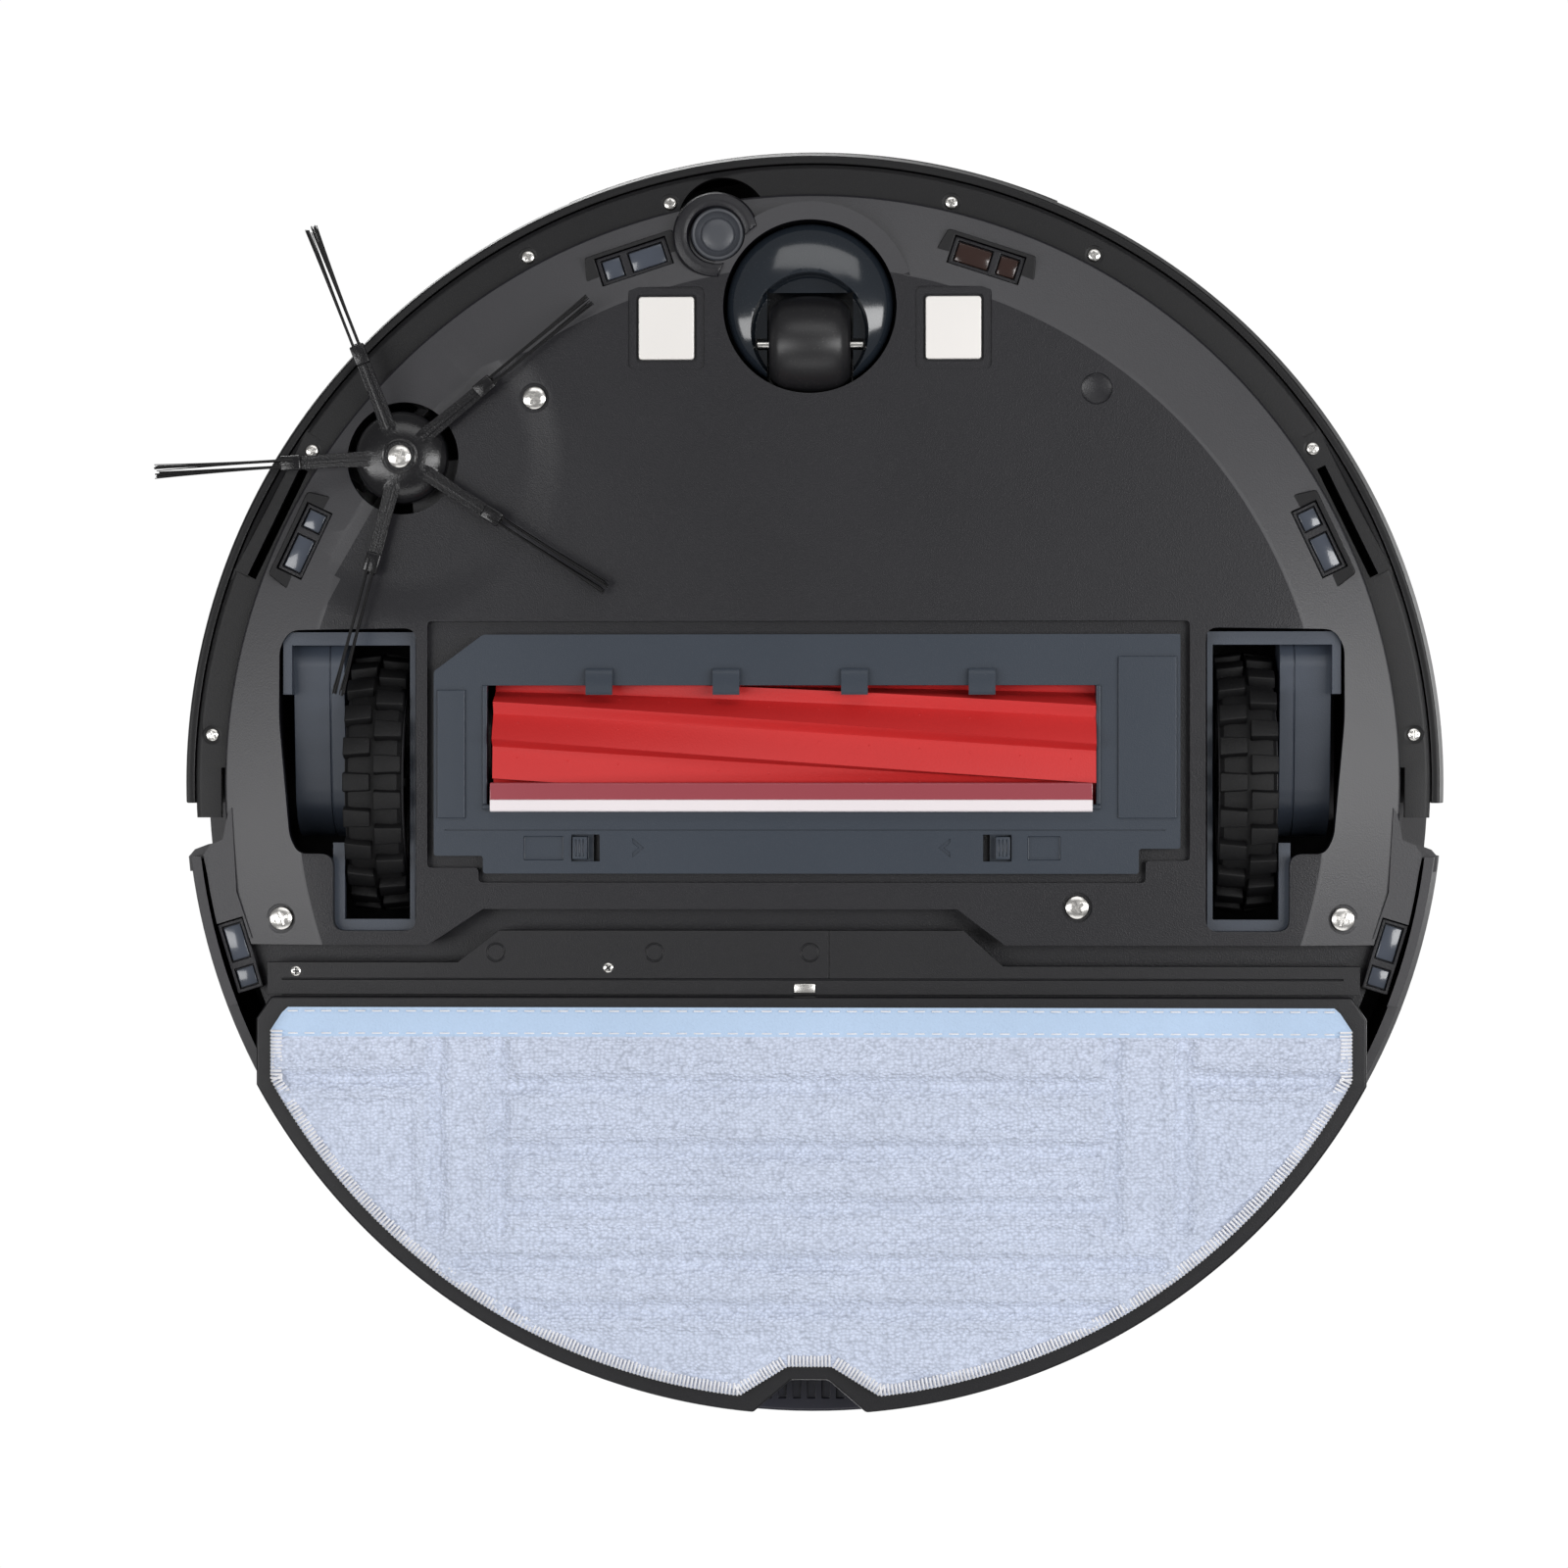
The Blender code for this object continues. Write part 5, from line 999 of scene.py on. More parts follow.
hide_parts("side_brush_bristles")
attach(bundles, "side_brush")
for k in range(5):
    aim = math.radians(-111.4 + 72 * k)
    clamp = box("clamp", (0.0270, -0.0020, 0.0027), (0.0325, 0.0020, 0.0044), SOFT_BLACK, 0.0004)
    clamp.name = f"tuft_clamp_{k}"
    clamp.data.transform(Matrix.Translation(hub_centre) @ Matrix.Rotation(aim, 4, "Z"))
    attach(clamp, "side_brush")
brush_screw = screw_head("brush_screw", 0.0032, 0.0020, 0.0034, SIDE_BRUSH, 0.4)
join(brush_screw, post("shank", 0.0014, 0.0032, 0.0135, SIDE_BRUSH, PLATED, steps=20))
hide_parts("side_brush_screw")
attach(brush_screw, "side_brush")


# --- Driving wheels ---------------------------------------------------------
# A rubber tyre with two rows of staggered blocks on a ribbed hub, hung from a slate gear
# case on a sprung pivot, with a slate frame round the opening.

TYRE = finish_of("black tyre rubber", (
    0.0026, 0.0025, 0.0030
), 0.58, 3600, 0.00010, 0.22, 0.14, 0.05, Specular_IOR_Level=0.30)
SLATE = finish_of("slate satin ABS", (0.042, 0.052, 0.072), 0.38, 2800, 0.00003, 0.08, 0.08, 0.04)
HUB_BLACK = finish_of("matt hub plastic", (0.0220, 0.0215, 0.0240), 0.52, 2600, 0.00005, 0.10, 0.10, 0.06)


def side_slab(name, outline, low, high, look=None):
    """A flat (y, z) outline between two X values."""
    made = slab(name, outline, low, high, look)
    made.data.transform(Matrix(((0, 0, 1, 0), (1, 0, 0, 0), (0, 1, 0, 0), (0, 0, 0, 1))))
    return made


def round_hull(first, first_radius, second, second_radius, steps=28):
    along = math.atan2(second[1] - first[1], second[0] - first[0])
    spread = math.acos((first_radius - second_radius) / math.dist(first, second))
    start, end = math.degrees(along + spread), math.degrees(along - spread)
    return arc(first_radius, start, end + 360, steps, first) + arc(second_radius, end, start, steps, second)


PIVOT = (-0.0325, 0.026)
for hand, word in ((-1, "left"), (1, "right")):
    low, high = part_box(f"{word}_tyre")
    middle, wheel_r = (low.x + high.x) / 2, (high.z - low.z) / 2
    half = (high.x - low.x) / 2
    wheel_at = (middle, 0, wheel_r)
    tyre = lathe(f"{word}_tread", [
        (0.0293, half - 0.0004), (0.0312, half - 0.0004), (0.0326, half - 0.0014), (0.0331, half - 0.0030), (
            0.0331, -half + 0.0030
        ), (0.0326, -half + 0.0014),
        (0.0312, -half + 0.0004), (0.0293, -half + 0.0004),
    ], TYRE, wheel_at, 176, "X", ring=True)
    blocks = bmesh.new()
    for row in (-1, 1):
        for k in range(22):
            near, far = sorted((row * 0.0005, row * (half - 0.0001)))
            corners = [(near, -0.0029), (far, -0.0025), (far, 0.0025), (near, 0.0029)]
            piece = bmesh.new()
            floor_ring = [piece.verts.new((x, y, 0.0318)) for x, y in corners]
            crown_ring = [piece.verts.new((
                x, y * 0.88, 0.03580 - (0.0008 if abs(x) > 0.004 else 0)
            )) for x, y in corners]
            piece.faces.new(floor_ring[::-1])
            piece.faces.new(crown_ring)
            for i in range(4):
                piece.faces.new(
                    (floor_ring[i], floor_ring[(i + 1) % 4], crown_ring[(i + 1) % 4], crown_ring[i])
                )
            bmesh.ops.bevel(
                piece, geom=piece.edges[:], offset=0.00035, segments=2, profile=0.5, affect="EDGES",
                clamp_overlap=True
            )
            piece.transform(Matrix.Translation(wheel_at) @ Matrix.Rotation(
                math.tau * (k + (0.5 if row > 0 else 0)) / 22, 4, "X"
            ))
            hold = bpy.data.meshes.new("block")
            piece.to_mesh(hold)
            piece.free()
            blocks.from_mesh(hold)
            bpy.data.meshes.remove(hold)
    grips = from_bmesh(f"{word}_blocks", blocks, TYRE, 50)
    for piece in (tyre, grips):
        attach(piece, f"{word}_wheel")
    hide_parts(f"{word}_tyre")

    hub_line = [(0, -half + 0.0054), (
        0.0033, -half + 0.0054
    ), (0.0033, 0.0020), (0.0220, 0.0020), (0.0220, half), (0.0292, half), (0.0292, -half + 0.0002)]
    hub_line += [(
        0.0262, -half + 0.0002
    ), (0.0256, -half + 0.0012), (0.0070, -half + 0.0018), (0.0062, -half + 0.0004), (0, -half + 0.0004)]
    wheel_hub = lathe(f"{word}_hub", hub_line, HUB_BLACK, wheel_at, 120, "X", side=hand)
    for k in range(6):
        spoke = box("spoke", (-half + 0.0004, -0.0011, 0.0060), (-half + 0.0030, 0.0011, 0.0262))
        turned = Matrix.Rotation(math.tau * k / 6, 4, "X")
        spoke.data.transform(Matrix.Translation(wheel_at) @ Matrix.Scale(hand, 4, (1, 0, 0)) @ turned)
        if hand < 0:
            spoke.data.flip_normals()
        join(wheel_hub, spoke, solver="MANIFOLD")
    soften(wheel_hub, 0.0003)
    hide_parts(f"{word}_wheel_hub")
    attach(wheel_hub, f"{word}_wheel")

    # The gear case: two halves with a parting line, a spring slot, the pivot pin, a boss for the axle and a
    # groove round it.
    x0, x1 = sorted((hand * 0.1280, hand * 0.1420))
    case = side_slab(f"{word}_gear_case", round_hull(PIVOT, 0.0090, (0, wheel_r), 0.0150), x0, x1, SLATE)
    cut(case, *[box("spring slot", (
        min(hand * 0.1330, hand * 0.1390), -0.05, PIVOT[1] - 0.0061
    ), (max(hand * 0.1330, hand * 0.1390), PIVOT[0] + 0.0063, 0.05))])
    seam_x = sorted((hand * 0.13175, hand * 0.13215))
    seam = side_slab("seam", round_hull(PIVOT, 0.0100, (0, wheel_r), 0.0160), *seam_x)
    core = side_slab("core", round_hull(PIVOT, 0.0086, (0, wheel_r), 0.0146), *seam_x)
    cut(case, cut(seam, core))
    pin = sorted((hand * 0.1300, hand * 0.1450))
    axle = sorted((hand * 0.1167, hand * 0.1300))
    join(case, post("pin", 0.0030, *pin, PIVOT, axis="X", steps=40), post(
        "axle", 0.0030, *axle, (0, wheel_r), axis="X", steps=40
    ))
    groove = lathe("groove", [
        (0.0070, -0.0004), (0.0074, -0.0004), (0.0074, 0.001), (0.0070, 0.001)
    ], None, (hand * 0.1420, 0, wheel_r), 64, "X", True, hand)
    cut(case, groove)
    soften(case, 0.0006, 3)
    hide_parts(f"{word}_wheel_gearbox")
    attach(case, f"{word}_drive")

    coil = bmesh.new()
    turns = 4.25
    path = []
    for step in range(120):
        t = step / 119
        angle = math.tau * turns * t
        path.append((
            hand * (0.1338 + 0.0044 * t), PIVOT[0] + 0.0046 * math.cos(angle),
            PIVOT[1] + 0.0046 * math.sin(angle)
        ))
    rings = []
    for step, (x, y, z) in enumerate(path):
        angle = math.tau * turns * step / 119
        out = Vector((0, math.cos(angle), math.sin(angle)))
        rings.append([coil.verts.new(
            Vector((x, y, z)) + 0.00045 * (math.cos(s) * out + math.sin(s) * Vector((1, 0, 0)))
        ) for s in [math.tau * q / 10 for q in range(10)]])
    for first, second in zip(rings, rings[1:]):
        for q in range(10):
            coil.faces.new((first[q], first[(q + 1) % 10], second[(q + 1) % 10], second[q]))
    coil.faces.new(rings[0])
    coil.faces.new(rings[-1][::-1])
    spring = from_bmesh(f"{word}_coil", coil, PLATED, 60)
    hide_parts(f"{word}_wheel_spring")
    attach(spring, f"{word}_drive")

    # The fixed frame round the opening: front bar, inner cheek, rear bar and outer strip.
    inside, foot = 0.1079, 0.0125
    bars = [
        ((inside, -0.0410, foot), (0.1442, -0.0374, foot + 0.0029)), (
            (inside, -0.0400, foot), (inside + 0.0015, 0.0400, 0.0400)
        ),
        (
            (inside, 0.0374, foot), (0.1305, 0.0405, foot + 0.0029)
        ), ((0.1273, 0.0165, foot), (0.1305, 0.0404, foot + 0.0029)),
        ((0.1418, -0.0405, foot), (0.1442, -0.0240, 0.0370)),
    ]
    frame_bars = []
    for (ax, ay, az), (bx, by, bz) in bars:
        left, right = sorted((hand * ax, hand * bx))
        frame_bars.append(box("frame bar", (left, ay, az), (right, by, bz), SLATE))
    surround = frame_bars.pop(0)
    surround.name = f"{word}_wheel_frame"
    join(surround, *frame_bars)
    cut(surround, post("ear hole", 0.0034, *sorted((hand * 0.139, hand * 0.146)), PIVOT, axis="X", steps=40))
    soften(surround, 0.0004, 3)
    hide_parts(f"{word}_wheel_bracket")
    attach(surround, "vacuum")


# --- Roller -----------------------------------------------------------------
# A red silicone roller. Eleven soft fins wind one way round it, each a swept curve that
# rises to a thin lip, with rows of small moulding dimples between them.

ROLLER_RED = finish_of(
    "red silicone", (0.520, 0.018, 0.018), 0.46, 1800, 0.00005, 0.08, 0.10, 0.0, Specular_IOR_Level=0.42
)
ROLLER_AXIS = (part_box("scraper")[0].y - 0.0101, 0.0205)
roller_low, roller_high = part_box("main_brush")
ROLLER_X = (-0.086, 0.0775)
ROLLER_R, FINS, ROLLER_TWIST = 0.0195, 11, math.radians(37)
rubber = bmesh.new()
rings = []
for slice_no in range(41):
    share = slice_no / 40
    x = ROLLER_X[0] + (ROLLER_X[1] - ROLLER_X[0]) * share
    ring = []
    for step in range(FINS * 16):
        fin, part = divmod(step, 16)
        t = part / 16
        # Each fin sweeps up from the root of the last one to a lip, then drops steeply.
        rise = t / 0.84 if t < 0.84 else (1 - t) / 0.16
        r = 0.0158 + (ROLLER_R - 0.0158) * (0.16 + 0.84 * rise ** 1.7)
        angle = ROLLER_TWIST * share + math.tau * (fin + t) / FINS + 0.16
        ring.append(
            rubber.verts.new((x, ROLLER_AXIS[0] + r * math.cos(angle), ROLLER_AXIS[1] + r * math.sin(angle)))
        )
    rings.append(ring)
for first, second in zip(rings, rings[1:]):
    for i in range(len(first)):
        j = (i + 1) % len(first)
        rubber.faces.new((first[i], first[j], second[j], second[i]))
rubber.faces.new(rings[0])
rubber.faces.new(rings[-1])
for fin in range(FINS):
    for k in range(12):
        share = (k + 0.5) / 12
        x = ROLLER_X[0] + (ROLLER_X[1] - ROLLER_X[0]) * share
        angle = ROLLER_TWIST * share + math.tau * (fin + 0.28) / FINS + 0.16
        place = (x, ROLLER_AXIS[0] + 0.0166 * math.cos(angle), ROLLER_AXIS[1] + 0.0166 * math.sin(angle))
        bmesh.ops.create_icosphere(rubber, subdivisions=2, radius=0.0004, matrix=Matrix.Translation(place))
roller = from_bmesh("roller_fins", rubber, ROLLER_RED, 30)
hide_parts("main_brush")
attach(roller, "roller")
for name, r, start, end in (("roller_stub_left", 0.0028, roller_low.x, ROLLER_X[0] + 0.001), (
    "roller_stub_right", 0.0039, ROLLER_X[1] - 0.001, roller_high.x
)):
    stub = soften(
        post(name, r, start, end, ROLLER_AXIS, HUB_BLACK, "X", 6 if "right" in name else 40), 0.0003
    )
    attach(stub, "roller")


# --- Brush cover ------------------------------------------------------------
# The slate frame that keeps the roller in: a window with four hooks over its front edge,
# a raised rim, a soft scraper along the rear, and two latches that slide towards the middle.

left, right, front, rear = BAY[0] + 0.0020, BAY[1] - 0.0027, BAY[2] + 0.0037, BAY[3] - 0.0025
WINDOW = (-0.0876, 0.0775, -0.0263, 0.0060)
plate_line = rounded([
    (left + 0.0134, front), (right, front), (right, rear - 0.0068), (
        right - 0.0112, rear - 0.0068
    ), (right - 0.0112, rear),
    (left + 0.0134, rear), (left + 0.0134, rear - 0.0048), (left, rear - 0.0048), (left, front + 0.0100),
], 0.0008, 3)
COVER_Z = 0.0059
COVER_SLATE = finish_of("dark slate satin ABS", (
    0.0270, 0.0360, 0.0510
), 0.36, 2800, 0.00003, 0.08, 0.08, 0.03, Specular_IOR_Level=0.42)
cover = slab("roller_cover", plate_line, COVER_Z, COVER_Z + 0.0025, COVER_SLATE)
for low, high in (
    ((left + 0.0140, front, COVER_Z + 0.0015), (right, front + 0.0020, 0.0112)), (
        (left + 0.0140, rear - 0.0020, COVER_Z + 0.0015), (right - 0.0115, rear, 0.0112)
    ),
    (
        (left, front + 0.0110, COVER_Z + 0.0015), (left + 0.0020, rear - 0.0050, 0.0112)
    ), ((right - 0.0020, front, COVER_Z + 0.0015), (right, rear - 0.0070, 0.0112)),
):
    join(cover, box("rim", low, high))
cut(cover, box("window", (WINDOW[0], WINDOW[2], 0), (WINDOW[1], WINDOW[3], 0.02)))
# Raised cheeks at both ends, and a thin lip round three sides of the window.
for low, high in (
    ((
        WINDOW[1] + 0.0060, front + 0.0060, COVER_Z - 0.0009
    ), (right - 0.0010, rear - 0.0150, COVER_Z + 0.001)),
    ((left + 0.0010, front + 0.0150, COVER_Z - 0.0009), (WINDOW[0] - 0.0060, rear - 0.0150, COVER_Z + 0.001)),
    ((WINDOW[1], WINDOW[2], COVER_Z - 0.0007), (WINDOW[1] + 0.0013, WINDOW[3], COVER_Z + 0.001)),
    ((WINDOW[0] - 0.0013, WINDOW[2], COVER_Z - 0.0007), (WINDOW[0], WINDOW[3], COVER_Z + 0.001)),
    ((
        WINDOW[0] - 0.0013, WINDOW[3] + 0.0001, COVER_Z - 0.0007
    ), (WINDOW[1] + 0.0013, WINDOW[3] + 0.0014, COVER_Z + 0.001)),
):
    join(cover, box("cheek", low, high, edge=0.0003))
for x in (-0.0571, -0.0226, 0.0122, 0.0467):
    hook = [(WINDOW[2] - 0.0046, COVER_Z + 0.001), (
        WINDOW[2] - 0.0046, 0.0049
    ), (WINDOW[2] - 0.0030, 0.0038), (WINDOW[2] + 0.0018, 0.0036), (WINDOW[2] + 0.0026, 0.0040)]
    hook += [(WINDOW[2] + 0.0026, 0.0052), (WINDOW[2] + 0.0016, 0.0054), (WINDOW[2] - 0.0010, 0.0054), (
        WINDOW[2] - 0.0012, COVER_Z + 0.001
    )]
    join(cover, side_slab("hook", hook, x - 0.0036, x + 0.0036))
for name, x, way in (("latch_left", -0.0643, 1), ("latch_right", 0.0504, -1)):
    start = x - 0.0004 if way > 0 else x - 0.0034
    cut(cover, box("latch slot", (start, 0.0142, 0), (start + 0.0077, 0.0215, 0.02)))
    # A chevron beside each latch shows which way it slides.
    tip = x + (0.0162 if way > 0 else -0.0123)
    chevron = handed(
        [(0.0032, 0.0), (0.0, 0.0026), (0.0, 0.0013), (0.0016, 0.0), (0.0, -0.0013), (0.0, -0.0026)], way
    )
    cut(cover, slab("chevron", [(tip + px, 0.0178 + py) for px, py in chevron], 0.005, COVER_Z + 0.0004))
# The rear band steps up along a seam, with a shallow pocket near each latch.
cut(cover, box("seam", (left + 0.003, 0.0128, 0), (right - 0.004, 0.0132, COVER_Z + 0.0005)))
for start, end in ((-0.0778, -0.0668), (0.0590, 0.0680)):
    cut(cover, box("pocket", (start, 0.0146, 0), (end, 0.0212, COVER_Z + 0.0009), edge=0.0004))
soften(cover, 0.0004, 3)
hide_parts("brush_cover")
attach(cover, "cover")
for name, x, way in (("latch_left", -0.0643, 1), ("latch_right", 0.0504, -1)):
    tab = box(name + "_tab", (x, 0.0148, 0.0048), (x + 0.0039, 0.0209, 0.0100), COVER_SLATE)
    for k in range(3):
        cut(tab, box("grip", (x + 0.0007 + 0.0010 * k, 0.0156, 0), (x + 0.0011 + 0.0010 * k, 0.0201, 0.0052)))
    join(tab, box("head", (x - 0.0016, 0.0126, 0.0088), (x + 0.0055, 0.0222, 0.0106)))
    soften(tab, 0.0002)
    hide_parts(name)
    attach(tab, name + "_body")

SCRAPER_WHITE = finish_of("translucent scraper rubber", (
    0.76, 0.70, 0.72
), 0.36, 2000, 0.00002, 0.04, 0.08, 0.02, Specular_IOR_Level=0.45)
blade_low, blade_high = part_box("scraper")
CLEAR_EDGE = finish_of("clear scraper lip", (
    0.30, 0.055, 0.070
), 0.18, 1600, 0.00001, 0.04, 0.06, 0.0, Coat_Weight=0.4, Coat_Roughness=0.06)
blade = side_slab("scraper_blade", [
    (0.0047, 0.0024), (0.0050, 0.0022), (
        blade_high.y - 0.0004, 0.0022
    ), (blade_high.y, 0.0026), (blade_high.y, blade_high.z), (0.0047, blade_high.z),
], blade_low.x, blade_high.x, SCRAPER_WHITE)
soften(blade, 0.0002)
lip = side_slab("scraper_lip", [(blade_low.y, 0.0030), (
    blade_low.y + 0.0003, 0.0026
), (0.0048, 0.0025), (0.0048, 0.0036), (blade_low.y, 0.0034)], blade_low.x, blade_high.x, CLEAR_EDGE)
soften(lip, 0.0002)
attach(lip, "cover")
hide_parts("scraper")
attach(blade, "cover")


# --- Mop carrier and plate --------------------------------------------------
# A black carrier that lifts under the tank, and the D-shaped plate that slides out of it.

CARRIER_ABS = finish_of("black carrier ABS", (
    0.0040, 0.0038, 0.0055
), 0.40, 2700, 0.00005, 0.12, 0.10, 0.02, Specular_IOR_Level=0.42)
carrier_low, carrier_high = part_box("mop_carrier")
PLATE_LOW, PLATE_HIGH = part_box("mop_plate")
rear_r = BODY_RADIUS - 0.0200
contour = [(
    -0.1480, 0.0490
), (-0.0960, 0.0490), (-0.0847, 0.0403), (0.0418, 0.0403), (0.0524, 0.0500), (0.1490, 0.0500)]
corner = math.degrees(math.acos(0.1451 / rear_r))
carrier = slab("carrier", contour + arc(
    rear_r, corner, 180 - corner, 90
), PLATE_HIGH.z + 0.0006, carrier_high.z, CARRIER_ABS)
strip = contour + [(0.1490, PLATE_LOW.y - 0.0004), (-0.1480, PLATE_LOW.y - 0.0004)]
join(carrier, slab("strip", strip, carrier_low.z, carrier_high.z - 0.001))
for x in (-0.0855, -0.0423, 0.0):
    ring = lathe("ring", [(0.0022, carrier_low.z - 0.001), (0.0026, carrier_low.z - 0.001), (
        0.0026, carrier_low.z + 0.0003
    ), (0.0022, carrier_low.z + 0.0003)], centre=(x, 0.0463, 0), steps=48, ring=True)
    cut(carrier, ring)
cut(carrier, box("seam", (0.0050, 0.02, 0), (0.0054, 0.0535, carrier_low.z + 0.0004)), box(
    "lip seam", (-0.1440, 0.0534, 0), (0.1445, 0.0538, carrier_low.z + 0.0005)
))
soften(carrier, 0.0004, 3)
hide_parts("mop_carrier")
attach(carrier, "mop_lift_body")
for number, place in enumerate(((-0.1402, 0.0515), (-0.0549, 0.0505))):
    head = screw_head(
        f"carrier_screw_{number}", 0.00155, carrier_low.z - 0.0003, carrier_low.z + 0.0006, place, number
    )
    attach(head, "mop_lift_body")
clip = box("carrier_clip", (
    -0.0043, 0.0547, carrier_low.z - 0.0008
), (0.0015, 0.0574, carrier_low.z + 0.0004), PLATED, 0.0003)
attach(clip, "mop_lift_body")


def d_shape(front, half, radius, notch, steps=70):
    """The mop's outline: chamfered front corners, a round rear and a notch in the middle of it."""
    corner, lobe = math.degrees(math.acos(half / radius)), math.degrees(math.acos(notch[0] / radius))
    points = [
        (-half + 0.004, front), (half - 0.004, front), (half, front + 0.006)
    ] + arc(radius, corner, lobe, steps)
    return points + [
        (notch[1], notch[2]), (-notch[1], notch[2])
    ] + arc(radius, 180 - lobe, 180 - corner, steps) + [(-half, front + 0.006)]


MOP_R = math.hypot(0.0153, PLATE_HIGH.y)
holder = slab("mop_holder", d_shape(
    PLATE_LOW.y, PLATE_HIGH.x, MOP_R, (0.0153, 0.0050, MOP_R - 0.0095)
), PLATE_LOW.z, PLATE_HIGH.z, CARRIER_ABS)
soften(holder, 0.0007, 3)
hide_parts("mop_plate")
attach(holder, "mop")


# --- Mop cloth --------------------------------------------------------------
# A quilted microfibre pad: pale terry loops between stitched channels, a light blue
# binding along the front and an overlocked edge round the rear.

MICROFIBRE = finish_of("microfibre terry", (
    0.570, 0.625, 0.765
), 0.92, 1500, 0.0003, 0.10, 0.05, 0.0, Sheen_Weight=0.30, Sheen_Roughness=0.5)
weave, weave_links = MICROFIBRE.node_tree.nodes, MICROFIBRE.node_tree.links
weave_place = weave.new("ShaderNodeTexCoord")
loops = weave.new("ShaderNodeTexVoronoi")
tufting = weave.new("ShaderNodeTexNoise")
stretch = weave.new("ShaderNodeMapping")
# The loops stand in fine rows across the pad, so their cells are wider than they are deep.
stretch.inputs["Scale"].default_value = (900, 1150, 900)
loops.inputs["Scale"].default_value = 1.0
loops.inputs["Randomness"].default_value = 0.75
tufting.inputs["Scale"].default_value = 420
tufting.inputs["Detail"].default_value = 4
weave_links.new(weave_place.outputs["Object"], stretch.inputs["Vector"])
weave_links.new(stretch.outputs["Vector"], loops.inputs["Vector"])
weave_links.new(weave_place.outputs["Object"], tufting.inputs["Vector"])
# The base colour is lighter at the middle of each loop and darker towards the gaps between loops: painted
# shade in the gaps. The tufting noise varies the tone at random.
loop_shade, loop_height = weave.new("ShaderNodeMapRange"), weave.new("ShaderNodeMath")
loop_shade.inputs["From Min"].default_value, loop_shade.inputs["From Max"].default_value = 0.15, 0.85
loop_shade.inputs["To Min"].default_value, loop_shade.inputs["To Max"].default_value = 1.16, 0.80
weave_links.new(loops.outputs["Distance"], loop_shade.inputs["Value"])
tuft_shade, both = weave.new("ShaderNodeMapRange"), weave.new("ShaderNodeMath")
tuft_shade.inputs["From Min"].default_value, tuft_shade.inputs["From Max"].default_value = 0.35, 0.65
tuft_shade.inputs["To Min"].default_value, tuft_shade.inputs["To Max"].default_value = 0.93, 1.07
weave_links.new(tufting.outputs["Fac"], tuft_shade.inputs["Value"])
both.operation = "MULTIPLY"
weave_links.new(loop_shade.outputs["Result"], both.inputs[0])
weave_links.new(tuft_shade.outputs["Result"], both.inputs[1])
weave_tint = weave.new("ShaderNodeVectorMath")
weave_tint.operation = "SCALE"
weave_links.new(weave["Group"].outputs["Colour"], weave_tint.inputs[0])
weave_links.new(both.outputs[0], weave_tint.inputs["Scale"])
weave_links.new(weave_tint.outputs[0], weave["Principled BSDF"].inputs["Base Color"])
loop_height.operation = "SUBTRACT"
weave_links.new(tufting.outputs["Fac"], loop_height.inputs[0])
weave_links.new(loops.outputs["Distance"], loop_height.inputs[1])
weave_links.new(loop_height.outputs[0], weave["Bump"].inputs["Height"])
weave["Bump"].inputs["Distance"].default_value = 0.0007
weave["Bump"].inputs["Strength"].default_value = 0.9
BINDING = finish_of(
    "light blue binding tape", (0.440, 0.565, 0.745), 0.85, 1500, 0.00025, 0.09, 0.05, 0.0, Sheen_Weight=0.20
)
THREAD = finish_of("white sewing thread", (0.800, 0.800, 0.830), 0.80, 3000, 0.00005, 0.10, 0.05, 0.0)
CLOTH_LOW, CLOTH_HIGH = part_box("mop_cloth")
CLOTH_R = MOP_R - 0.0045
TAPE_END = CLOTH_LOW.y + 0.0079
CHANNELS = [((x, 0.069), (x, 0.120)) for x in (-0.101, -0.084, 0.082, 0.101)]
CHANNELS += [(
    (-0.146, 0.0805), (-0.101, 0.0805)
), ((0.101, 0.0805), (0.146, 0.0805)), ((-0.084, 0.082), (0.082, 0.082)), ((-0.084, 0.1146), (0.082, 0.1146))]
CHANNELS += [(
    (-0.084, 0.0993), (0.082, 0.0993)
), ((-0.095, 0.130), (0.094, 0.130)), ((-0.080, 0.1425), (0.082, 0.1425))]


def to_channel(x, y):
    """Distance to the nearest stitched channel."""
    best = 1.0
    for (ax, ay), (bx, by) in CHANNELS:
        dx, dy = bx - ax, by - ay
        t = min(1, max(0, ((x - ax) * dx + (y - ay) * dy) / (dx * dx + dy * dy)))
        best = min(best, math.hypot(x - ax - t * dx, y - ay - t * dy))
    return best


def cloth_rear(x):
    side = abs(x)
    if side >= 0.0190:
        return math.sqrt(CLOTH_R ** 2 - side ** 2)
    shoulder = math.sqrt(CLOTH_R ** 2 - 0.0190 ** 2)
    return CLOTH_R - 0.0090 + (shoulder - CLOTH_R + 0.0090) * max(0, side - 0.0060) / 0.0130


def cloth_front(x):
    return CLOTH_LOW.y + max(0, abs(x) - CLOTH_HIGH.x + 0.004) * 1.5


